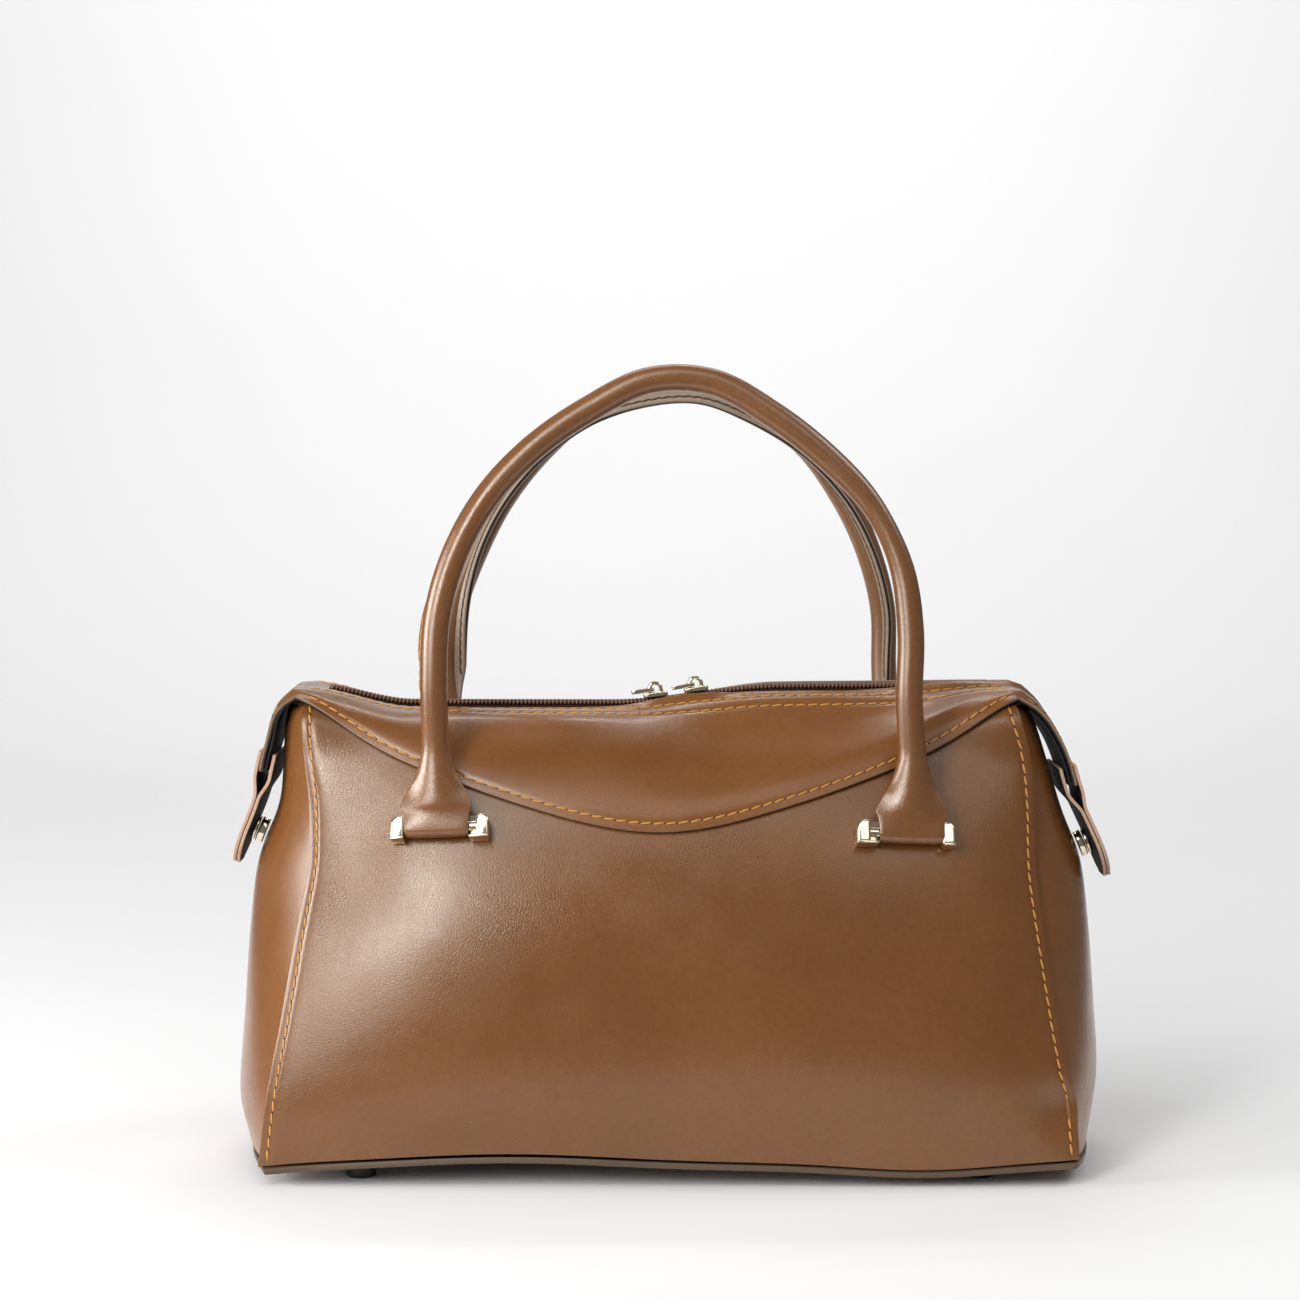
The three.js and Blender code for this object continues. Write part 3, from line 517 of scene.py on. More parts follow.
def lay_sheet(name, points):
    """A grid whose points lie where the array (columns, rows, 3) in mm puts them."""
    columns, rows = points.shape[:2]
    clear_selection()
    bpy.ops.mesh.primitive_grid_add(x_subdivisions=columns - 1, y_subdivisions=rows - 1, size=2)
    sheet = bpy.context.object
    sheet.name = name
    flat = np.empty(columns * rows * 3)
    sheet.data.vertices.foreach_get("co", flat)
    flat = flat.reshape(-1, 3)
    i = np.rint((flat[:, 0] + 1) / 2 * (columns - 1)).astype(int)
    j = np.rint((flat[:, 1] + 1) / 2 * (rows - 1)).astype(int)
    sheet.data.vertices.foreach_set("co", (points[i, j] * MM).ravel())
    sheet.data.update()
    return sheet


def round_rims(piece, width, segments, degrees):
    limit = math.radians(degrees)
    finish_mesh(piece, "BEVEL", width=width, segments=segments, limit_method="ANGLE", angle_limit=limit)


def thicken(sheet, looks, thickness, rim_bevel=0.35):
    for look in looks:
        sheet.data.materials.append(look)
    rim, inner = min(1, len(looks) - 1), 2 if len(looks) > 2 else 0
    finish_mesh(
        sheet, "SOLIDIFY", thickness=thickness * MM, offset=-1, use_even_offset=True,
        material_offset=inner, material_offset_rim=rim,
    )
    round_rims(sheet, rim_bevel * MM, 2, 55)
    smooth_shade(sheet)


def grid_out(points):
    return unit(np.cross(np.gradient(points, axis=0), np.gradient(points, axis=1)))


print("faces and hands:", FACES, HANDS)

# %% [markdown]
# ## Sewing
#
# Sewing takes a line on the leather with its outward directions, and sets one stitch after another along
# it, with a needle hole between each two. A needle hole is a small dark bead on the surface, painted shade
# for the hole. A stitch is modelled once, as a stretched bead. Here its places are only collected. The
# copies are made at the end, when all the rows are known.

# %% Helpers for sewing
AHEAD = 0.5


def stations(points, pitch, start=0.0, stop=0.0):
    """Evenly pitched places along a line of points: the places and the directions along it."""
    walked = walked_along(points)
    room = walked[-1] - start - stop
    count = max(1, int(round(room / pitch)))
    marks = start + (np.arange(count) + 0.5) * room / count
    reached = lambda along: np.stack([np.interp(along, walked, points[:, k]) for k in range(3)], -1)
    at, ahead, behind = reached(marks), reached(marks + AHEAD), reached(marks - AHEAD)
    return marks / walked[-1], at, unit(ahead - behind), room / count


def copy_along(name, pattern, frames):
    """One mesh of many copies of a small pattern, each moved by a frame (4 x 4, in mm)."""
    mesh = pattern.data
    flat = np.empty(len(mesh.vertices) * 3)
    mesh.vertices.foreach_get("co", flat)
    own = flat.reshape(-1, 3)
    frames = np.asarray(frames)
    points = np.einsum("nij,kj->nki", frames[:, :3, :3], own) + frames[:, None, :3, 3]
    faces = [tuple(face.vertices) for face in mesh.polygons]
    every = [tuple(v + n * len(own) for v in face) for n in range(len(frames)) for face in faces]
    copies = bpy.data.meshes.new(name)
    copies.from_pydata((points.reshape(-1, 3) * MM).tolist(), [], every)
    copies.polygons.foreach_set("use_smooth", [True] * len(every))
    copies.update()
    piece = bpy.data.objects.new(name, copies)
    bpy.context.collection.objects.link(piece)
    return piece


def place_copy(name, pattern, place, look, degrees, slot, body="bag"):
    """One copy of a pattern at its place. Its name is its CAD node's name and a last word."""
    piece = copy_along(name, pattern, [place])
    piece.data.materials.append(look)
    smooth_shade(piece, degrees)
    return settle(piece, slot, name.rsplit("_", 1)[0], body=body)


def bead(name, size, segments=8, rings=6):
    clear_selection()
    turn = (0, math.pi / 2, 0)
    bpy.ops.mesh.primitive_uv_sphere_add(segments=segments, ring_count=rings, radius=1, rotation=turn)
    shape = bpy.context.object
    shape.name = name
    bpy.ops.object.transform_apply()
    shape.scale = size
    bpy.ops.object.transform_apply()
    return shape


STITCH_PITCH, SHORT_PITCH = 4.85, 3.6
STITCH, STITCH_LEANS, STITCH_LIFT = (2.25, 0.46, 0.42), 0.13, 0.12
HOLE, HOLE_LIFT = (0.42, 0.38, 0.12), 0.02
stitch_pattern = bead("stitch_pattern", STITCH)
hole_pattern = bead("hole_pattern", HOLE, 8, 4)
sewn_frames, shaded_frames, hole_frames = [], [], []


def frame_of(first, second, third, at):
    spot = np.eye(4)
    spot[:3, :3] = np.stack([first, second, third], -1)
    spot[:3, 3] = at
    return spot


def frame_at(at, along, out, lean=0.0):
    across = unit(np.cross(out, along))
    out = np.cross(along, across)
    turned = along * math.cos(lean) + across * math.sin(lean)
    return frame_of(turned, np.cross(out, turned), out, at)


def sew(points, outs, pitch=STITCH_PITCH, start=0.0, stop=0.0, lift=STITCH_LIFT, rows=sewn_frames):
    shares, at, along, step = stations(points, pitch, start, stop)
    walked = walked_along(points)
    steps = walked / walked[-1]
    out = unit(np.stack([np.interp(shares, steps, outs[:, k]) for k in range(3)], -1))
    for n in range(len(at)):
        rows.append(frame_at(at[n] + out[n] * lift, along[n], out[n], STITCH_LEANS))
        hole_frames.append(frame_at(at[n] + out[n] * HOLE_LIFT + along[n] * step / 2, along[n], out[n]))


print("stitch faces:", len(stitch_pattern.data.polygons))

# %% [markdown]
# ## Front and back panels
#
# Each is one bowed piece of leather from the base up to the lap under the top panel. Its side edges roll
# back over the end walls, and a row of stitches sits 3 mm inside them in a shallow groove. Handling has
# left a few soft dents, given in a short table.

# %% Front and back panels
SCALLOP_MIDDLE, SCALLOP_END, SCALLOP_SHARP = 73, 23, 2.2
LAP_MIDDLE, LAP_END, LAP_POWER = 11, 4, 4
EDGE_ROLL, ROLL_OVER = 1.0, 7
CORNER_TRIM, TRIM_OVER, TRIM_POWER = 0.017, (0.95, 1), 12
SEAM_INSIDE = 3.2
GROOVE, GROOVE_REACH = 0.28, 0.9
PANEL_EDGE = [0, 0.4, 0.9, 1.5, 2.1, 2.7, 3.2, 3.7, 4.3, 5, 6, 7.5, 9.5, 12]
PANEL_FOOT = [0, 0.004, 0.009, 0.015, 0.022]
PANEL_HALF, PANEL_COLUMNS, PANEL_ROWS = 149, 110, 76
SEAM_SPAN, PAINTED_BELOW = (0.004, 0.93), 16
DENTS = [
    # x, height, reach along, reach up, depth
    (151, 30, 9, 9, 2.0),
    (-40, 70, 60, 30, 0.8),
    (60, 50, 50, 26, -0.8),
    (-118, 128, 16, 30, 0.9),
    (108, 150, 24, 18, 0.8),
]


def scallop_length(u):
    bend = lambda r: np.sqrt(1 + (SCALLOP_SHARP * r) ** 2) - 1
    return mix(SCALLOP_MIDDLE, SCALLOP_END, bend(np.abs(u)) / bend(1))


# height, place and reach of the bottom edge's rise and of its sag
CREST, SAG = (3.4, -62, 58), (3.0, 98, 38)
CORNER_DROP, CORNER_RISE, CORNER_AT, CORNER_TURNS = 2.2, 0.8, 157, 8
WAVE_FADES = (0, 0.16)
SEAM_OUT = {
    # hand: heights, and how far out of the pattern the side seam lies there
    -1: ((10, 40, 90, 105, 125), (2.8, 2.6, 2.6, 2.0, 0)),
    1: ((10, 22, 33, 44, 60, 90, 130, 168, 184), (1.4, 2.4, 4.0, 1.6, 1.6, 2.2, 2.8, 2.8, 0.8)),
}
SEAM_POWER, SEAM_TURNS = 6, 0.6


def bottom_wave(x):
    wave = CREST[0] * swell(x, *CREST[1:]) - SAG[0] * swell(x, *SAG[1:])
    return wave + np.where(x < 0, -CORNER_DROP, CORNER_RISE) * (np.abs(x) / CORNER_AT) ** CORNER_TURNS


def seam_out(x, z):
    return np.where(x < 0, np.interp(z, *SEAM_OUT[-1]), np.interp(z, *SEAM_OUT[1]))


def panel_face(u, t, side):
    at, out = skin(u, t, side), skin_out(u, t, side)
    inside = (1 - np.abs(u)) * line_through(GIRTH, t)[..., 2]
    lift = -EDGE_ROLL * np.clip(1 - inside / ROLL_OVER, 0, 1) ** 2
    lift -= GROOVE * swell(inside, SEAM_INSIDE, GROOVE_REACH)
    for x, height, along, up, depth in DENTS:
        lift -= depth * swell(at[..., 0] * -side, x, along) * swell(at[..., 2], height, up)
    beyond = seam_out(at[..., 0] * -side, at[..., 2]) * np.abs(u) ** SEAM_POWER
    at = at + out * (lift - SEAM_TURNS * beyond)[..., None]
    at[..., 0] += np.sign(at[..., 0]) * beyond
    at[..., 2] += bottom_wave(at[..., 0] * -side) * (1 - ease(t, *WAVE_FADES))
    return at, out


def spaced(edge, half, count):
    """Shares from -1 to 1, close together near both ends, where edge lists mm from the end."""
    tail = 1 - np.array(edge) / half
    middle = np.linspace(-tail[-1], tail[-1], count)
    return np.concatenate([-tail, middle[1:-1], tail[::-1]])


for face, side in FACES:
    us = spaced(PANEL_EDGE, PANEL_HALF, PANEL_COLUMNS) * -side
    lap = mix(LAP_MIDDLE, LAP_END, np.abs(us) ** LAP_POWER)
    tops = girth_at(us, side, scallop_length(us) - lap)
    climb = np.concatenate([PANEL_FOOT, np.linspace(0.03, 1, PANEL_ROWS)])
    trim = 1 - CORNER_TRIM * ease(climb, *TRIM_OVER)[None, :] * np.abs(us[:, None]) ** TRIM_POWER
    points, _ = panel_face(us[:, None] * trim, tops[:, None] * climb[None, :], side)
    panel = lay_sheet(f"{face}_panel_leather", points)
    thicken(panel, [tan_leather, edge_paint], LEATHER)
    heights = [middle_of(panel, part).z for part in panel.data.polygons]
    for part, height in zip(panel.data.polygons, heights):
        if height > PAINTED_BELOW * MM:
            part.material_index = 0
    settle(panel, "tan_leather", f"{face}_panel")
    for end in (-1, 1):
        ts = np.linspace(*SEAM_SPAN, 240)
        u = end * (1 - SEAM_INSIDE / line_through(GIRTH, ts)[:, 2])
        seam, out = panel_face(u, ts, side)
        sew(seam, out, start=1, stop=2)

# %% [markdown]
# ## End walls
#
# The gussets close the bag's ends. They tuck behind the panels' edges, bulge out towards the middle, and
# carry a short row of stitches near their top edge, under the strap.

# %% End walls
GUSSET_TOP, GUSSET_ROW, ROW_REACH = 0.905, 0.018, 0.92
GUSSET_TUCK = LEATHER + 3 * GAP
GUSSET_EDGE = [0, 0.8, 1.8, 3, 4.5, 6.5, 9]
GUSSET_HALF, GUSSET_COLUMNS, GUSSET_ROWS = 60, 52, 84
SLUMP, SLUMP_HEIGHT, SLUMP_REACH = 2.2, 23, 13


def gusset_face(v, t, hand):
    v, t = np.broadcast_arrays(np.asarray(v, float), np.asarray(t, float))
    row, step = line_through(GIRTH, t), 1e-3
    run = line_through(GIRTH, np.minimum(t + step, 1)) - line_through(GIRTH, np.maximum(t - step, 0))
    tuck = unit(np.stack([run[..., 4], -run[..., 3]], -1)) * GUSSET_TUCK
    x = mix(row[..., 5], row[..., 2] - GAP, np.abs(v) ** BULGE_POWER)
    z = row[..., 4] - tuck[..., 1] * ease(t, 0, 0.3)
    if hand < 0:
        x = x + SLUMP * swell(z, SLUMP_HEIGHT, SLUMP_REACH) * (1 - v**4)
    return np.stack([hand * x + lean_at(row[..., 4]), v * (row[..., 3] - tuck[..., 0]), z], -1)


for end, hand in HANDS:
    vs = spaced(GUSSET_EDGE, GUSSET_HALF, GUSSET_COLUMNS) * hand
    points = gusset_face(vs[:, None], GUSSET_TOP * np.linspace(0, 1, GUSSET_ROWS)[None, :], hand)
    wall = lay_sheet(f"gusset_{end}_leather", points)
    # the end walls take the paler leather, which is painted light
    thicken(wall, [yoke_painted_light_leather], LEATHER)
    settle(wall, "tan_leather", f"gusset_{end}")
    across = np.linspace(-ROW_REACH, ROW_REACH, 60) * hand
    row = gusset_face(across, np.full(60, GUSSET_TOP - GUSSET_ROW), hand)
    strip = gusset_face(across[:, None], np.linspace(GUSSET_TOP - 0.03, GUSSET_TOP, 5)[None, :], hand)
    sew(row, grid_out(strip)[:, 2], pitch=SHORT_PITCH)

# %% [markdown]
# ## Base
#
# The base is a stiff leather board that the walls are sewn to. Only its edge shows, as a thin dull line
# under the panels' black edge, and it follows the panels' gentle wave.

# %% Base
BASE_THICK, BASE_SINKS, BASE_FLAT = 2.5, 0.4, 6
FOOT_HEIGHT = 7

us = np.linspace(-1, 1, 90)
vs = np.concatenate([[-1, -0.97, -0.93], np.linspace(-0.88, 0.88, 30), [0.93, 0.97, 1]])
u, v = np.meshgrid(us, vs, indexing="ij")
corner = GIRTH[0]
x = u * mix(corner[5], corner[2], np.abs(v) ** BULGE_POWER)
y = v * mix(corner[0], corner[3], np.abs(u) ** CORNER_POWER)
wave = bottom_wave(np.where(v < 0, x, -x)) * np.abs(v) ** BASE_FLAT
points = np.stack([x, y, FOOT_HEIGHT + BASE_THICK - BASE_SINKS + wave], -1)
base = lay_sheet("base_leather", points)
thicken(base, [base_leather], BASE_THICK, 0.6)
settle(base, "tan_leather", "base_panel")

# %% [markdown]
# ## Top panel and straps
#
# One piece of leather makes the scalloped yokes, the surround of the zip and both straps. It is laid as a
# long grid: the strap columns at the left, the yoke columns, and the strap columns at the right. First
# comes the pattern: how far the leather stands off the skin, where its seams pull it in, and where it dips
# or stands up along the zip.

# %% The top panel's pattern
SLOT_HALF, SLOT_WIDE = 134, 5.5
TOP_LIFT = 1.15 + LEATHER
SLOT_LIFT = 1.5 * GAP + LEATHER
SLOT_FLAT = 0.9
NEAR_SLOT = [0, 0.6, 1.6, 2.8, 3.8, 4.4, 4.9, 5.4, 6.2, 7.6, 9.2, 10.3, 10.9, 11.4, 11.9, 12.6, 14]
NEAR_EDGE = [6, 5, 4.2, 3.5, 2.9, 2.3, 1.6, 0.9, 0.4, 0]
EDGE_STITCH = 3.3
ZIP_STITCH = (4.9, 11.4)
COIL_SHOWN, BACK_STANDS, SLOT_TILTS = 2.1, 1.2, 7
SLIDERS_MIDDLE, SLIDERS_REACH = 4, 20
COIL_HIDDEN, COIL_SINKS = (70, 125), 1.9
TOP_GRAIN = 1.1
COLLAR_LEFT, COLLAR_RIGHT, COLLAR_ENDS = 0.6, 3.4, 12
COLLAR_GROWS, COLLAR_FADES = (-30, 25), (95, 132)
EDGE_DROPS, EDGE_DROP_OVER = 0.9, 8
SHELF_AT, SHELF_ALONG, SHELF_DOWN, SHELF_REACH = -58, 42, 17, 6.5
HUMP_RISES = 1.3


def slot_tilt(s, x, side):
    """The slot's front edge lies lower than its back one, so the coil shows, but not beside the sliders."""
    near = 1 - ease(s, 0, SLOT_TILTS)
    if side < 0:
        hump = swell(x, SLIDERS_MIDDLE, SLIDERS_REACH)
        return near * (HUMP_RISES * hump - COIL_SHOWN * (1 - hump) * (1 - COIL_SINKS * ease(x, *COIL_HIDDEN)))
    return BACK_STANDS * near * ease(x, SLIDERS_MIDDLE, SLIDERS_MIDDLE + 2 * SLIDERS_REACH)


def collar(s, x, length, side):
    """How far the leather sinks between zip and edge: taut and flat on the right, rounded on the left."""
    deep = mix(COLLAR_LEFT, COLLAR_RIGHT, ease(x * -side, *COLLAR_GROWS))
    deep = deep * (1 - ease(np.abs(x - LEAN), *COLLAR_FADES))
    return deep * np.sin(math.pi * np.clip(s / (length - COLLAR_ENDS), 0, 1))


def top_lift(s, t, length, x, side):
    lift = mix(TOP_LIFT, SLOT_LIFT, ease(t, SLOT_FLAT, 1))
    lift = lift - EDGE_DROPS * ease(s, length - EDGE_DROP_OVER, length) ** 2
    for line in (length - EDGE_STITCH, *ZIP_STITCH):
        lift = lift - GROOVE * swell(s, line, GROOVE_REACH)
    shelf = np.exp(-(((x * -side - SHELF_AT) / SHELF_ALONG) ** 4)) * swell(s, SHELF_DOWN, SHELF_REACH)
    return lift + shelf + slot_tilt(s, x, side) - collar(s, x, length, side)


def top_face(u, s, length, side):
    t = girth_at(u, side, s)
    at, out = skin(u, t, side), skin_out(u, t, side)
    return at + out * top_lift(s, t, length, at[..., 0], side)[..., None], out


def top_column(u):
    length = scallop_length(u)
    middle = np.linspace(NEAR_SLOT[-1], length - NEAR_EDGE[0], 16)[1:-1]
    s = np.concatenate([NEAR_SLOT, middle, length - np.array(NEAR_EDGE)])
    halves = [top_face(np.full(len(s), u), s, length, side)[0] for side in (-1, 1)]
    return np.vstack([halves[0][::-1], halves[1]])


end_columns = {hand: top_column(float(hand)) for _, hand in HANDS}
print("rows across the top panel:", len(end_columns[1]))

# %% [markdown]
# ## Straps and the laid top panel
#
# A strap's columns repeat the yoke's last column along a line that folds down over the end wall. The right
# strap has slipped a little lower than the left one. When the whole grid is laid, the faces over the zip
# are deleted, which leaves the slot. The piece is two layers glued together: tan leather with a rounded
# edge, and a thin black backing that shows as a dark line under it.

# %% Top panel and straps
def turned_out(rows, share, hand):
    step = 1e-3
    ahead = line_through(rows, np.minimum(share + step, 1)) - line_through(rows, np.maximum(share - step, 0))
    run = unit(ahead[..., :2])
    return np.stack([-run[..., 1] * hand, np.zeros_like(run[..., 0]), run[..., 0]], -1)


STRAP = np.array([
    # x, height, half width, crown
    (147, 190.4, 26.5, 0.8),
    (152.6, 185.3, 25.6, 0.5),
    (156.8, 179.2, 24.4, 0.25),
    (160, 172.2, 23, 0.1),
    (162.3, 164.7, 21.6, 0),
    (164.2, 157, 20.2, 0),
])
TUCKED = {
    # hand: depth, height, reach
    -1: (1.7, 171, 10),
    1: (1.5, 150, 13),
}
SLIPPED = {-1: np.array([0.0, 0.0]), 1: np.array([1.9, -5.6])}
SLIP_OVER = (0.35, 1)
SLOT_COLUMNS, STRAP_COLUMNS = 141, 34
PAST_SLOT = np.array([1, 0.985, 0.97, 0.957])


def tucked(z, hand):
    """How far a strap or tab lies in from its plain line, where the leather has settled."""
    depth, height, reach = TUCKED[hand]
    return depth * swell(z, height, reach)


def strap_column(share, hand, column, lift=0.0):
    half = len(column) // 2
    edge, slot_edge = column[0], column[half]
    row = line_through(STRAP, share)
    row[:2] += SLIPPED[hand] * ease(share, *SLIP_OVER)
    out = turned_out(STRAP, np.asarray(share), hand)
    across = column[:, 1] / abs(edge[1]) * row[2]
    drop = (column[:, 2] - slot_edge[2]) * row[3] + lift
    x = np.full(len(column), hand * (row[0] - tucked(row[1], hand)) + lean_at(row[1]))
    points = np.stack([x, across, np.full(len(column), row[1])], -1)
    return points + drop[:, None] * out


slot_end = SLOT_HALF / GIRTH[-1, 2]
inner = slot_end * np.linspace(-1, 1, SLOT_COLUMNS)
body_us = np.concatenate([-PAST_SLOT, inner, PAST_SLOT[::-1]])
strap_shares = np.linspace(0, 1, STRAP_COLUMNS)
left, right = ([strap_column(share, hand, end_columns[hand]) for share in strap_shares] for hand in (-1, 1))
left = left[::-1]
points = np.array(left + [top_column(u) for u in body_us] + right)

layers = [
    # name, depth below the face, thickness, finishes, rim bevel
    ("top_leather", 0, TOP_GRAIN, [yoke_painted_light_leather, pale_edge], 0.45),
    ("top_backing", TOP_GRAIN, LEATHER - TOP_GRAIN, [edge_paint], 0.1),
]
for name, below, thickness, looks, rim in layers:
    layer = lay_sheet(name, points - below * grid_out(points))
    centres = np.array([middle_of(layer, part) for part in layer.data.polygons])
    from_middle = np.abs(centres[:, 0] / MM - lean_at(centres[:, 2] / MM))
    in_slot = (np.abs(centres[:, 1]) < (SLOT_WIDE - 1) * MM) & (from_middle < SLOT_HALF)
    pick(layer, "FACE", lambda part: in_slot[part.index])
    bpy.ops.mesh.delete(type="FACE")
    bpy.ops.object.mode_set(mode="OBJECT")
    thicken(layer, looks, thickness, rim)
    settle(layer, "tan_leather", *(["top_panel"] if below == 0 else []))

# %% [markdown]
# ## Stitches of the top panel
#
# One row follows the scalloped edge and runs on along the strap. Two rows follow the zip on each side and
# run a little past its ends.

# %% Stitches of the top panel
EDGE_ROW, ZIP_ROW, ROW_POINTS = 0.985, 0.995, 260
STRAP_ROWS, STRAP_FROM, STRAP_STOPS, STRAP_LIFT = (5, -6), 2, 8, -0.22

for side in (-1, 1):
    us = np.linspace(-EDGE_ROW, EDGE_ROW, ROW_POINTS)
    length = scallop_length(us)
    sew(*top_face(us, length - EDGE_STITCH, length, side))
    for line in ZIP_STITCH:
        us = np.linspace(-1, 1, ROW_POINTS) * min(ZIP_ROW, (SLOT_HALF + line) / GIRTH[-1, 2])
        sew(*top_face(us, np.full(ROW_POINTS, line), scallop_length(us), side))

for grid in (np.array(left), np.array(right)):
    outs = grid_out(grid)
    for row in STRAP_ROWS:
        sew(grid[STRAP_FROM:, row], outs[STRAP_FROM:, row], stop=STRAP_STOPS, lift=STRAP_LIFT)
print("stitches so far:", len(sewn_frames))

# %% [markdown]
# ## Strap linings and tabs
#
# Each strap has a black backing, which shows as a dark underside. Its end goes between two tan tab layers.
# They part at the top to hold the strap, and meet below it, where a row of stitches goes across.

# %% Strap linings and tabs
LINING, LINING_FROM, LINING_COLUMNS = 0.8, 0.2, 30
TAB_LEATHER = 1.3
TAB = np.array([
    # x, height
    (162.3, 164.7), (164.2, 157), (166.6, 148.6), (169.7, 140.4), (173, 132.3), (175.9, 124.2), (178.6, 116),
])
TAB_HALF, TAB_TIP, TAB_BLUNT = 20.5, 16, 0.12
TAB_CLOSED = 1.3
TAB_CLOSES = (0.2, 0.38)
TAB_ENDS = 0.935
TAB_ROW, TAB_ROW_REACH, TAB_COLUMNS = 0.1, 0.86, 31
tab_line = line_through(TAB, np.linspace(0, TAB_ENDS, 200))
TAB_LENGTH = np.linalg.norm(np.diff(tab_line, axis=0), axis=1).sum()


def tab_lifts(t):
    closing = ease(t, *TAB_CLOSES)
    outer = mix(GAP, -TAB_CLOSED, closing) + TAB_LEATHER
    inner = mix(-LEATHER - LINING - 5 * GAP, -TAB_CLOSED - GAP, closing)
    return outer, inner


def tab_half(t):
    past = np.maximum(0, (t / TAB_ENDS - 1) * TAB_LENGTH + TAB_TIP) / TAB_TIP
    return TAB_HALF * np.sqrt(np.maximum(TAB_BLUNT, 1 - past**2))


def tab_face(t, across, lift, hand):
    t, across = np.broadcast_arrays(np.asarray(t, float), np.asarray(across, float))
    at = line_through(TAB, t) + SLIPPED[hand]
    x = hand * (at[..., 0] - tucked(at[..., 1], hand)) + lean_at(at[..., 1])
    points = np.stack([x, across, at[..., 1]], -1)
    return points + lift[..., None] * turned_out(TAB, t, hand)


for end, hand in HANDS:
    shares = np.linspace(LINING_FROM, 1, LINING_COLUMNS)[::hand]
    column = end_columns[hand][::2]
    points = np.array([strap_column(share, hand, column, -LEATHER - 2 * GAP) for share in shares])
    lining = lay_sheet(f"strap_lining_{end}_cloth", points)
    thicken(lining, [black_lining], LINING, 0.2)
    settle(lining, "dark_lining", f"strap_lining_{end}")

    tip = TAB_TIP / TAB_LENGTH
    rounding = 1 - np.sin(np.linspace(0.05, 1, 22) * math.pi / 2)
    ts = np.concatenate([np.linspace(0, 1 - tip, 40), 1 - tip * rounding]) * TAB_ENDS
    across = np.linspace(-1, 1, TAB_COLUMNS)[None, :] * hand * tab_half(ts)[:, None]
    for layer, lift in zip(("outer", "inner"), tab_lifts(ts)):
        points = tab_face(ts[:, None], across, np.tile(lift[:, None], (1, TAB_COLUMNS)), hand)
        tab = lay_sheet(f"tab_{layer}_{end}_leather", points)
        thicken(tab, [tan_leather, raw_edge, black_lining], TAB_LEATHER, 0.3)
        settle(tab, "tan_leather", f"tab_{layer}_{end}")
    across = np.linspace(-TAB_ROW_REACH, TAB_ROW_REACH, 40) * TAB_HALF * hand
    t = np.full(40, TAB_ROW)
    row = tab_face(t, across, tab_lifts(t)[0], hand)
    sew(row, turned_out(TAB, t, hand), pitch=SHORT_PITCH)

# %% [markdown]
# ## Rolled handles
#
# A rolled handle is a strip of leather sewn round a soft core, and its seam stands out as a flat welt along
# the inside of the arch. At each end the strip opens out flat, wraps round the bridge's bar and ends behind
# it. Two tables give the arches, which are not alike, and one gives the sizes of an end from the bar up.

# %% The handles' lines
ROLL = 5.3
HANDLES = {
    # x, depth, height, turn of the welt
    -1: [
        (-92.2, 54.8, 195.5, 130), (-90.9, 52.4, 221.2, 125), (-83.8, 49.9, 245.8, 100),
        (-71.1, 47.7, 268.2, 90), (-53.2, 46.3, 286.9, 90), (-31.8, 44.6, 301.7, 90),
        (-8.4, 43.7, 312.9, 90), (16.9, 43.7, 312.2, 90), (40, 44.9, 299.6, 90),
        (60.8, 46.6, 283.4, 90), (78.7, 48.1, 264.4, 90), (90, 50.4, 241, 90),
        (93.7, 53, 215.5, 90), (93.2, 55.2, 189.6, 90),
    ],
    1: [
        (-95, 55.1, 193.7, 15), (-90.6, 52.6, 218.6, 50), (-81.6, 50.3, 242.5, 75),
        (-70, 48, 264.8, 78), (-53.8, 46.5, 285.3, 70), (-34.2, 44.8, 302.1, 50),
        (-10.8, 43.8, 311.7, 30), (14.2, 43.8, 312.9, 30), (37.3, 44.7, 302.8, 45),
        (57.8, 46.3, 287.2, 65), (73.2, 47.9, 265.9, 90), (84.1, 50.2, 243.2, 100),
        (90.5, 52.6, 218.8, 102), (91.3, 54.9, 193.6, 98),
    ],
}
# place, reach and share of the thinner stretch where the front handle bends
THIN_BEND = (83, 256, 24, 0.17)
HANDLE_END = np.array([
    # out of the panel, up it, half width, ridge in front, depth behind, flange, pinch
    (1.9, 5, 12.2, 1, 1, 1, 1),
    (1.9, -0.75, 12.3, 1, 1, 1, 1),
    (2.65, -2.55, 12.3, 1, 1, 1, 1),
    (4.45, -3.3, 12.3, 1, 1, 1, 1),
    (6.25, -2.55, 12.4, 1, 1, 1, 1),
    (7, -0.75, 12.6, 1.1, 1, 1, 1.2),
    (7.4, 4.5, 13.2, 2.3, 1, 1, 3.2),
    (7.8, 8, 14.2, 3.6, 1.2, 0.9, 4.0),
    (8.6, 13, 11.8, 4.3, 2.2, 0.6, 3.2),
    (9.7, 17.8, 8.8, 4.5, 3.4, 0.3, 1.9),
    (10.9, 23, 6.8, 4.9, 4.5, 0.1, 1.25),
    (12, 28.5, 5.6, 5.25, 5.1, 0, 1),
])
END_STATIONS, ROLL_STATIONS, ROUND_STATIONS = 71, 191, 41
JOIN_REACH, JOIN_WIDTH, JOIN_FADES = 12, 4.8, 13.2
FLAP_STATIONS, FLAP_EDGES = 44, (0, 19, 20, 39)
ENDS = {
    # side, hand: bridge x, handle x, height
    (-1, -1): (-89.2, -90.4, 137.5),
    (-1, 1): (91.2, 93.2, 135.2),
    (1, -1): (-91, -91, 137.5),
    (1, 1): (91, 91, 137.5),
}


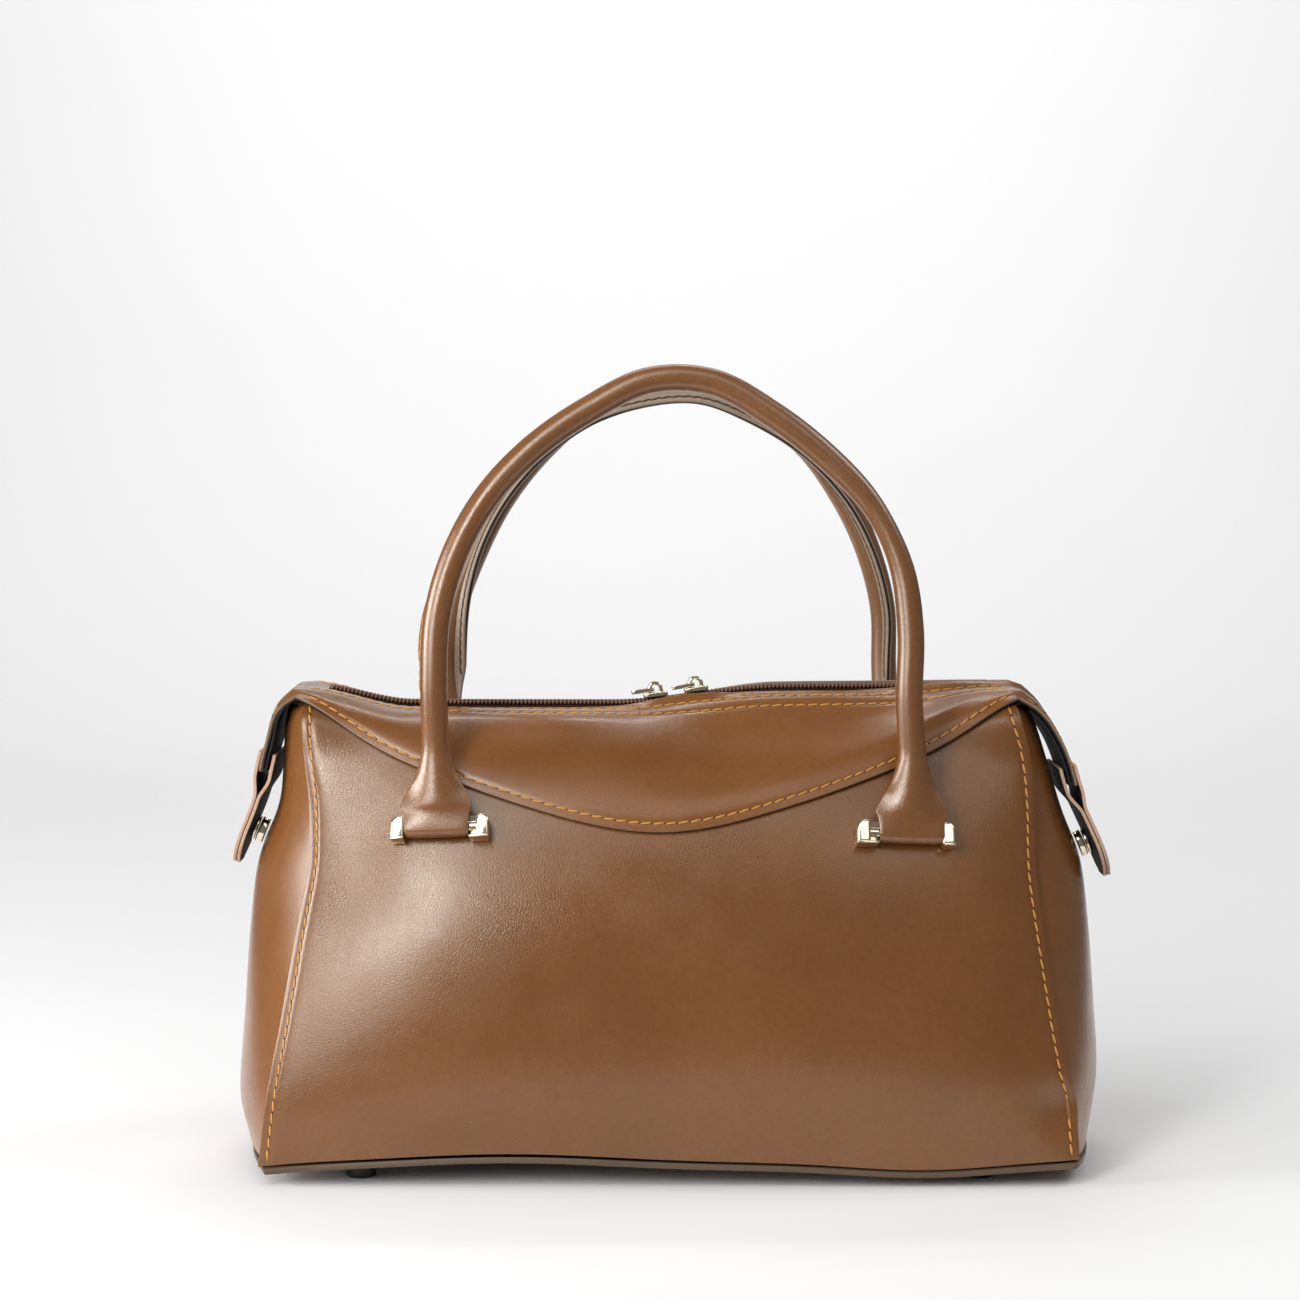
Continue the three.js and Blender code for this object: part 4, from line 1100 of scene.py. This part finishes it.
def bridge_frame(x, side, height):
    low, high = 0.2, 0.8
    for _ in range(40):
        t = (low + high) / 2
        u = x / line_through(GIRTH, t)[2]
        low, high = (t, high) if skin(u, t, side)[2] < height else (low, t)
    out = skin_out(np.asarray(u), np.asarray(t), side)
    along = unit(np.array([-side, 0, 0]) + side * out[0] * out)
    return skin(u, t, side), along, np.cross(out, along), out


print("handle stations:", 2 * END_STATIONS + ROLL_STATIONS - 2)

# %% [markdown]
# ## Rolling and sewing the handles
#
# The roll is laid as a strip whose long edges meet, and the welt is laid as a second strip. Where an end
# joins the arch, the lines are averaged over a few millimetres, so no crease shows. The back handle's roll
# is painted greyer and its welt paler, as painted shade and a painted reflection of the white floor, and
# its welt is sewn with the dark thread, painted shade on the thread.

# %% Rolled handles
def inside_of(tangent):
    return unit(np.stack([tangent[..., 2], np.zeros_like(tangent[..., 0]), -tangent[..., 0]], -1))


def softened(values, walked, near):
    """Values near the join, each a mean over a few mm; the mean narrows to nothing at the reach."""
    middle = walked[near].mean()
    width = JOIN_WIDTH * (1 - (np.abs(walked[near] - middle) / JOIN_FADES) ** 2).clip(0.02)
    spacing = np.gradient(walked)
    weights = np.exp(-(((walked[near][:, None] - walked[None]) / width[:, None]) ** 2)) * spacing[None]
    return (weights / weights.sum(1, keepdims=True)) @ values


def roll_section(sizes, grain):
    """Offsets across and through the roll for columns half, ridge, back, flange, pinch; grain faces out."""
    half, ridge_high, back, flange, pinch = sizes.T
    angles = np.linspace(0, 2 * math.pi, ROUND_STATIONS)[:, None]
    height = np.abs(np.sin(angles))
    front = flange * height**0.4 + (ridge_high - flange) * height**pinch
    rear = back * height ** mix(1, 0.4, np.clip(flange, 0, 1))
    above, below = (front, rear) if grain > 0 else (rear, front)
    return np.cos(angles) * half, np.where(np.sin(angles) > 0, above, -below)


def close_tube(tube):
    edit(tube, "VERT")
    bpy.ops.object.mode_set(mode="EDIT")
    bpy.ops.mesh.select_all(action="SELECT")
    bpy.ops.mesh.remove_doubles(threshold=1e-6)
    bpy.ops.mesh.select_all(action="DESELECT")
    bpy.ops.mesh.select_non_manifold()
    bpy.ops.mesh.fill()
    bpy.ops.object.mode_set(mode="OBJECT")


WELT_LONG, WELT_HALF, WELT_TAPER = 4.2, 1.3, 24
WELT_FROM = {-1: 8, 1: 2}
WELT_SECTION = np.array([
    # out from the roll's middle, half thickness
    (3.6, 2.5), (ROLL - 0.3, 1.9), (ROLL + 0.8, 1.4), (ROLL + 2.2, WELT_HALF), (ROLL + 3.6, WELT_HALF),
    (ROLL + 4.05, 1.0), (ROLL + WELT_LONG, 0.5), (ROLL + WELT_LONG + 0.06, 0),
])
WELT_STITCH = 2.0
WELT_SEWN, WELT_PITCH, WELT_SUNK = {-1: 6, 1: 17}, 4.2, 0.4
welt_loop = np.vstack([WELT_SECTION, WELT_SECTION[-2::-1] * (1, -1), WELT_SECTION[:1]])
PAINTED = (6, 7)

for face, side in FACES:
    ends = {}
    for hand in (-1, 1):
        _, handle_x, height = ENDS[side, hand]
        origin, along, up, out = bridge_frame(handle_x, side, height)
        rows = line_through(HANDLE_END, np.linspace(0, 1, END_STATIONS))
        at = origin + rows[:, :1] * out + rows[:, 1:2] * up
        wide = along * np.sign(along[0] * -hand)
        ends[hand] = np.hstack([at, np.tile(wide, (END_STATIONS, 1)), rows[:, 2:]])
    table = np.array([(x, side * depth, z, turn) for x, depth, z, turn in HANDLES[side]])
    arch = np.vstack([ends[-1][-1, :3], table[:, :3], ends[1][-1, :3]])
    shares = np.linspace(0, 1, ROLL_STATIONS)
    roll_at = line_through(arch, shares)
    roll_run = unit(np.gradient(roll_at, axis=0))
    roll_wide = inside_of(roll_run)
    round_sizes = np.tile((ROLL, ROLL, ROLL, 0, 1.0), (ROLL_STATIONS, 1))
    if side < 0:
        bend_x, bend_z, reach, share = THIN_BEND
        bend = np.exp(-((roll_at[:, 0] - bend_x) ** 2 + (roll_at[:, 2] - bend_z) ** 2) / reach**2)
        round_sizes[:, :3] *= 1 - share * bend[:, None]
    whole = np.vstack([ends[-1], np.hstack([roll_at, roll_wide, round_sizes])[1:-1], ends[1][::-1]])
    walked = walked_along(whole[:, :3])
    for join in (walked[END_STATIONS - 1], walked[-END_STATIONS]):
        near = np.abs(walked - join) < JOIN_REACH
        whole[near] = softened(whole, walked, near)
    at, wide = whole[:, :3], whole[:, 3:6]
    run = unit(np.gradient(at, axis=0))
    wide = unit(wide - (wide * run).sum(1, keepdims=True) * run)
    deep = np.cross(run, wide)
    aside, through = roll_section(whole[:, 6:], side)
    points = at[None] + aside[..., None] * wide[None] + through[..., None] * deep[None]
    roll = lay_sheet(f"handle_{face}_roll", points)
    # the back roll takes the greyer leather, which is painted shade and reflection
    for look in (handle_leather if side < 0 else back_handle_painted_light, pale_edge):
        roll.data.materials.append(look)
    strips = ROUND_STATIONS - 1
    for part in roll.data.polygons:
        station = min(part.index // strips, len(at) - 2 - part.index // strips)
        part.material_index = int(station < FLAP_STATIONS and part.index % strips in FLAP_EDGES)
    close_tube(roll)
    smooth_shade(roll, 50)
    settle(roll, "tan_leather", f"handle_{face}")

    turns = np.concatenate([table[:1, 3], table[:, 3], table[-1:, 3]])
    turn = np.radians(line_through(turns[:, None], shares)[:, 0])[:, None]
    middle = np.array([0, -side, 0])
    out = roll_wide * np.cos(turn) + middle * np.sin(turn)
    out = unit(out - (out * roll_run).sum(1, keepdims=True) * roll_run)
    flat = np.cross(roll_run, out)
    keep = slice(WELT_FROM[side], -WELT_FROM[side])
    gone = walked_along(roll_at[keep])
    taper = ease(np.minimum(gone, gone[-1] - gone), 0, WELT_TAPER)
    reach = mix(np.minimum(welt_loop[:, :1], ROLL - WELT_SUNK), welt_loop[:, :1], taper[None])
    points = roll_at[None, keep] + reach[..., None] * out[None, keep]
    points = points + welt_loop[:, 1, None, None] * flat[None, keep]
    welt = lay_sheet(f"handle_{face}_welt", points)
    # the back welt takes the pale grey leather, which is a painted reflection
    for look in (handle_leather if side < 0 else back_welt_painted_light, edge_paint):
        welt.data.materials.append(look)
    strips = len(welt_loop) - 1
    for part in welt.data.polygons:
        part.material_index = int(part.index % strips in PAINTED)
    close_tube(welt)
    smooth_shade(welt, 50)
    settle(welt, "tan_leather")
    for way in (-1, 1):
        line = roll_at + out * (ROLL + WELT_STITCH) + flat * way * WELT_HALF
        rows, stop = sewn_frames if side < 0 else shaded_frames, WELT_SEWN[side]
        sew(line[keep], (flat * way)[keep], WELT_PITCH, stop, stop, rows=rows)

# %% [markdown]
# ## Bridges
#
# Each handle end hangs on a cast metal bridge: two polished posts with a bar between them. A post starts as
# a block. Its upper outer corner is bevelled round, and then all its rims are bevelled, so that they catch
# the light. A thin lip runs along its foot. Where room is left between post and handle, a sloped plate
# fills it, and mirrors the dark side of the studio.

# %% Bridges
BRIDGE_HALF, BRIDGE_TALL, BRIDGE_POST = 19.3, 9.2, 5.2
BRIDGE_FRONT, BAR_OUT, BAR_HALF = 6.6, 4.45, 1.15
BAR_TALL, BAR_TUCK = 1.6, 1
POST_ROUND, POST_RIM = 3.2, 1.0
LIP_TALL, LIP_OUT, LIP_RIM = 1.0, 0.5, 0.25
PLATE_BACK, PLATE_LOW, PLATE_SLOPES, PLATE_LEAST, FLAP_CLEAR = 0.8, 0.8, 4.0, 0.3, 12.9


def metal_block(low, high):
    clear_selection()
    bpy.ops.mesh.primitive_cube_add(size=1)
    block = bpy.context.object
    block.scale = tuple(b - a for a, b in zip(low, high))
    block.location = tuple((a + b) / 2 for a, b in zip(low, high))
    bpy.ops.object.transform_apply()
    return block


def bridge_shape(flap_at):
    """One bridge in its own place, for a flap that hangs off its middle by flap_at."""
    parts = []
    for hand in (-1, 1):
        inner, outer = hand * (BRIDGE_HALF - BRIDGE_POST), hand * BRIDGE_HALF
        flap = hand * FLAP_CLEAR + flap_at
        left, right = sorted((inner, outer))
        post = metal_block((left, -BRIDGE_TALL / 2, GAP), (right, BRIDGE_TALL / 2, BRIDGE_FRONT))
        at_outer = lambda edge: abs(middle_of(post, edge).x - outer) < CLOSE
        pick(post, "EDGE", lambda edge: at_outer(edge) and middle_of(post, edge).y > BRIDGE_TALL / 2 - CLOSE)
        bpy.ops.mesh.bevel(offset=POST_ROUND, segments=10, affect="EDGES")
        bpy.ops.object.mode_set(mode="OBJECT")
        round_rims(post, POST_RIM, 6, 35)
        smooth_shade(post, 50)
        parts.append(post)
        if hand * (inner - flap) > PLATE_LEAST:
            left, right = sorted((inner, flap))
            low = (left, -BRIDGE_TALL / 2, GAP)
            high = (right, BRIDGE_TALL / 2 - PLATE_LOW, BRIDGE_FRONT - PLATE_BACK)
            filler = metal_block(low, high)
            at_foot = lambda edge: middle_of(filler, edge).y < low[1] + CLOSE
            pick(filler, "EDGE", lambda edge: at_foot(edge) and middle_of(filler, edge).z > high[2] - CLOSE)
            bpy.ops.transform.translate(value=(0, 0, -PLATE_SLOPES))
            bpy.ops.object.mode_set(mode="OBJECT")
            parts.append(filler)
        left, right = sorted((outer, flap))
        low = (left, -(BRIDGE_TALL + LIP_TALL) / 2, GAP)
        lip = metal_block(low, (right, -(BRIDGE_TALL - LIP_TALL) / 2, BRIDGE_FRONT + LIP_OUT))
        round_rims(lip, LIP_RIM, 3, 35)
        smooth_shade(lip, 50)
        parts.append(lip)
    clear_selection()
    long = 2 * (BRIDGE_HALF - BRIDGE_POST + BAR_TUCK)
    turn = (0, math.pi / 2, 0)
    bpy.ops.mesh.primitive_cylinder_add(vertices=32, radius=BAR_HALF, depth=long, rotation=turn)
    bar = bpy.context.object
    bar.scale = (1, BAR_TALL, 1)
    bar.location = (0, 0, BAR_OUT)
    bpy.ops.object.transform_apply()
    smooth_shade(bar, 50)
    for part in parts:
        part.select_set(True)
    bpy.ops.object.join()
    return bar


for face, side in FACES:
    for end, hand in HANDS:
        bridge_x, handle_x, height = ENDS[side, hand]
        shape = bridge_shape((handle_x - bridge_x) * -side)
        origin, along, up, out = bridge_frame(bridge_x, side, height)
        place = frame_of(along, up, out, origin)
        place_copy(f"bridge_{face}_{end}_metal", shape, place, pale_gold, 50, "pale_gold_metal")
        bpy.data.objects.remove(shape)

# %% [markdown]
# ## Snaps and feet
#
# The snaps are two turned discs between tab and gusset, and the feet are short black studs. Both are
# cylinders with rounded rims.

# %% Snaps and feet
SNAP_ALONG, SNAP_RADIUS, SNAP_SOCKET, SNAP_RIM = 0.64, 5.4, 1.7, 0.5
FOOT_RADIUS, FOOT_RIM, FOOT_CLEAR = 6, 1.2, 0.2
FOOT_ALONG, FOOT_OUT = 122, 52


def stud(name, radius, low, high, rim):
    clear_selection()
    middle = (0, 0, (low + high) / 2)
    bpy.ops.mesh.primitive_cylinder_add(vertices=48, radius=radius, depth=high - low, location=middle)
    shape = bpy.context.object
    shape.name = name
    bpy.ops.object.transform_apply()
    round_rims(shape, rim, 4, 40)
    return shape


for end, hand in HANDS:
    t = np.asarray(SNAP_ALONG)
    out = turned_out(TAB, t, hand)
    inner = tab_face(t, np.asarray(0.0), tab_lifts(t)[1] - TAB_LEATHER - 1.5 * GAP, hand)
    crown = gusset_face(np.zeros(60), GUSSET_TOP * np.linspace(0, 1, 60), hand) - inner
    ahead = crown @ -out
    aside = np.linalg.norm(crown + ahead[:, None] * out, axis=1)
    depth = ahead[aside < SNAP_RADIUS].min() - 2 * GAP
    place = frame_of(np.cross((0, 1, 0), -out), (0, 1, 0), -out, inner)
    for name, low, high in (("socket", 0, SNAP_SOCKET), ("stud", SNAP_SOCKET + GAP, depth)):
        pattern = stud("snap_pattern", SNAP_RADIUS, low, high, SNAP_RIM)
        place_copy(f"snap_{name}_{end}_metal", pattern, place, pale_gold, 30, "pale_gold_metal")
        bpy.data.objects.remove(pattern)

pattern = stud("foot_pattern", FOOT_RADIUS, 0, FOOT_HEIGHT - FOOT_CLEAR, FOOT_RIM)
for face, side in FACES:
    for end, hand in HANDS:
        place = frame_of(*np.eye(3), (hand * FOOT_ALONG, side * FOOT_OUT, 0))
        place_copy(f"foot_{face}_{end}_stud", pattern, place, black_foot, 30, "dark_foot")
bpy.data.objects.remove(pattern)

# %% [markdown]
# ## Zip
#
# Two woven tapes lie under the slot's edges. The coil between them is two rows of slanting nylon loops, one
# loop modelled once and copied along the ridge.

# %% Tapes and coil
CHAIN_HALF, CHAIN_LENGTH = 3, 133
COIL_PITCH, COIL_LOOP = 1.6, (2.1, 0.78, 1.2)
LOOP_SLANTS, LOOP_OUT, LOOP_RISES = 0.30, 1.15, 1.75
TAPE_OUTER, TAPE_REACH, TAPE_THICK = 15, 0.97, 0.7


def ridge(x):
    return skin(np.asarray(x, float) / GIRTH[-1, 2], 1.0, -1) * (1, 0, 1)


for face, side in FACES:
    us = np.linspace(TAPE_REACH, -TAPE_REACH, 90) * side
    slot_edge = skin(us, 1.0, side)
    outer = girth_at(us, side, TAPE_OUTER - SLOT_WIDE)
    lines = []
    for share in (0, 0.35, 0.7, 1):
        t, s = mix(outer, 1, share), (1 - share) * (TAPE_OUTER - SLOT_WIDE)
        at = skin(us, t, side)
        lift = np.minimum(0, slot_tilt(s, at[:, 0], side)) - collar(s, at[:, 0], scallop_length(us), side)
        lines.append(at + skin_out(us, t, side) * lift[:, None])
    lines.append(slot_edge * (1, 0, 1) + np.array([0, side * (CHAIN_HALF + GAP), 0]))
    tape = lay_sheet(f"zip_tape_{face}_cloth", np.stack(lines, 1))
    thicken(tape, [brown_tape], TAPE_THICK, 0.15)
    settle(tape, "zip_tape", f"zip_tape_{face}")

loop = bead("coil_loop", COIL_LOOP, 10, 6)
frames = []
for n in range(int(2 * CHAIN_LENGTH / COIL_PITCH)):
    for row in (-1, 1):
        x = -CHAIN_LENGTH + (n + 0.5 + 0.25 * row) * COIL_PITCH
        rise = unit(ridge(x + 1) - ridge(x - 1))
        lean = np.array([LOOP_SLANTS * row, 1, 0]) * row
        at = ridge(x) + np.array([0, LOOP_OUT * row, LOOP_RISES])
        frames.append(frame_at(at, unit(lean), np.cross(rise, (0, 1, 0))))
coil = copy_along("zip_coil", loop, frames)
coil.data.materials.append(nylon_coil)
settle(coil, "zip_coil", "zip_chain")
bpy.data.objects.remove(loop)

# %% [markdown]
# ## Sliders and pulls
#
# Two sliders meet near the middle. A slider is a bevelled plate with a half-round wire hoop, which is half
# of a torus with its ends extruded down. The pull is a flat tab with an eye for the hoop. It rides on its
# own body, since it swings.

# %% Sliders and pulls
SLIDERS = {"left": -0.6, "right": 16}
SLIDER_LONG, SLIDER_WIDE, SLIDER_THICK = 10, 8.6, 1.4
HOOP, HOOP_WIRE, HOOP_LIFT = 2.4, 0.8, 1.2
SLIDER_LOW, PLATE_SINKS = 3.455, 0.35
PULL_NEAR, PULL_FAR, PULL_WIDE, PULL_THICK, PULL_DROOP = 0.3, 9.8, 5.2, 1.7, 2
EYE_NEAR, EYE_FAR, EYE_WIDE, EYE_CUT = 1.2, 3.6, 2.6, 2
# corner and rim of each plate
SLIDER_ROUND, PULL_ROUND, EYE_ROUND = (2.4, 0.35), (1.8, 0.25), (0.6, 0.05)


def plate(long, wide, thick, corner, rim):
    """A flat plate between two places along, across and through it, with round corners and soft rims."""
    shape = metal_block(*zip(long, wide, thick))
    upright = lambda edge: abs(np.subtract(*(shape.data.vertices[i].co.z for i in edge.vertices))) > 0.5
    pick(shape, "EDGE", upright)
    bpy.ops.mesh.bevel(offset=corner, segments=8, affect="EDGES")
    bpy.ops.object.mode_set(mode="OBJECT")
    round_rims(shape, rim, 3, 50)
    return shape


def both_ways(size):
    return -size / 2, size / 2


def slider_pattern():
    through = SLIDER_LOW - PLATE_SINKS, SLIDER_LOW + SLIDER_THICK
    body = plate(both_ways(SLIDER_LONG), both_ways(SLIDER_WIDE), through, *SLIDER_ROUND)
    lift = SLIDER_LOW + SLIDER_THICK + HOOP_LIFT
    clear_selection()
    bpy.ops.mesh.primitive_torus_add(
        major_radius=HOOP, minor_radius=HOOP_WIRE, major_segments=40, minor_segments=12,
        location=(0, 0, lift), rotation=(math.pi / 2, 0, 0),
    )
    hoop = bpy.context.object
    bpy.ops.object.transform_apply()
    edit(hoop, "EDGE")
    bpy.ops.object.mode_set(mode="EDIT")
    bpy.ops.mesh.select_all(action="SELECT")
    bpy.ops.mesh.bisect(plane_co=(0, 0, lift), plane_no=(0, 0, 1), clear_inner=True)
    bpy.ops.mesh.extrude_region_move(TRANSFORM_OT_translate={"value": (0, 0, -HOOP_LIFT - SLIDER_THICK / 2)})
    bpy.ops.object.mode_set(mode="OBJECT")
    body.select_set(True)
    bpy.ops.object.join()
    return hoop


def pull_pattern():
    tab = plate((PULL_NEAR, PULL_FAR), both_ways(PULL_WIDE), both_ways(PULL_THICK), *PULL_ROUND)
    eye = plate((EYE_NEAR, EYE_FAR), both_ways(EYE_WIDE), (-EYE_CUT, EYE_CUT), *EYE_ROUND)
    finish_mesh(tab, "BOOLEAN", operation="DIFFERENCE", object=eye, solver="EXACT")
    bpy.data.objects.remove(eye)
    return tab


sliding, pulling = slider_pattern(), pull_pattern()
for end, x in SLIDERS.items():
    rise = unit(ridge(x + SLIDER_LONG / 2) - ridge(x - SLIDER_LONG / 2))
    out = np.cross(rise, (0, 1, 0))
    place = frame_of(rise, (0, 1, 0), out, ridge(x))
    place_copy(f"zip_slider_{end}_metal", sliding, place, pale_gold, 30, "pale_gold_metal")
    droop = math.radians(PULL_DROOP)
    along = -rise * math.cos(droop) - out * math.sin(droop)
    hinge = ridge(x) + out * (SLIDER_LOW + SLIDER_THICK + HOOP_LIFT)
    place = frame_of(along, (0, -1, 0), np.cross(along, (0, -1, 0)), hinge)
    place_copy(f"zip_pull_{end}_metal", pulling, place, pale_gold, 30, "pale_gold_metal", f"pull_{end}")
bpy.data.objects.remove(sliding)
bpy.data.objects.remove(pulling)

# %% [markdown]
# ## Thread and needle holes
#
# All the stitches that were set while the leather was laid now become pieces: the golden ones, the ones of
# the back handle's welt, painted dark as painted shade, and the needle holes between them, dark beads that
# are painted shade for each hole. A stitch is a small bead of thread that lies in its groove with a slight
# slant.

# %% Thread and needle holes
rows = [
    # name, pattern, places, finish
    ("thread_stitches", stitch_pattern, sewn_frames, golden_thread),
    ("welt_stitches", stitch_pattern, shaded_frames, shaded_thread),
    ("needle_holes", hole_pattern, hole_frames, needle_hole_shade),
]
for name, pattern, places, look in rows:
    thread = copy_along(name, pattern, places)
    thread.data.materials.append(look)
    settle(thread, "tan_leather")
bpy.data.objects.remove(stitch_pattern)
bpy.data.objects.remove(hole_pattern)
print("stitches:", len(sewn_frames) + len(shaded_frames))
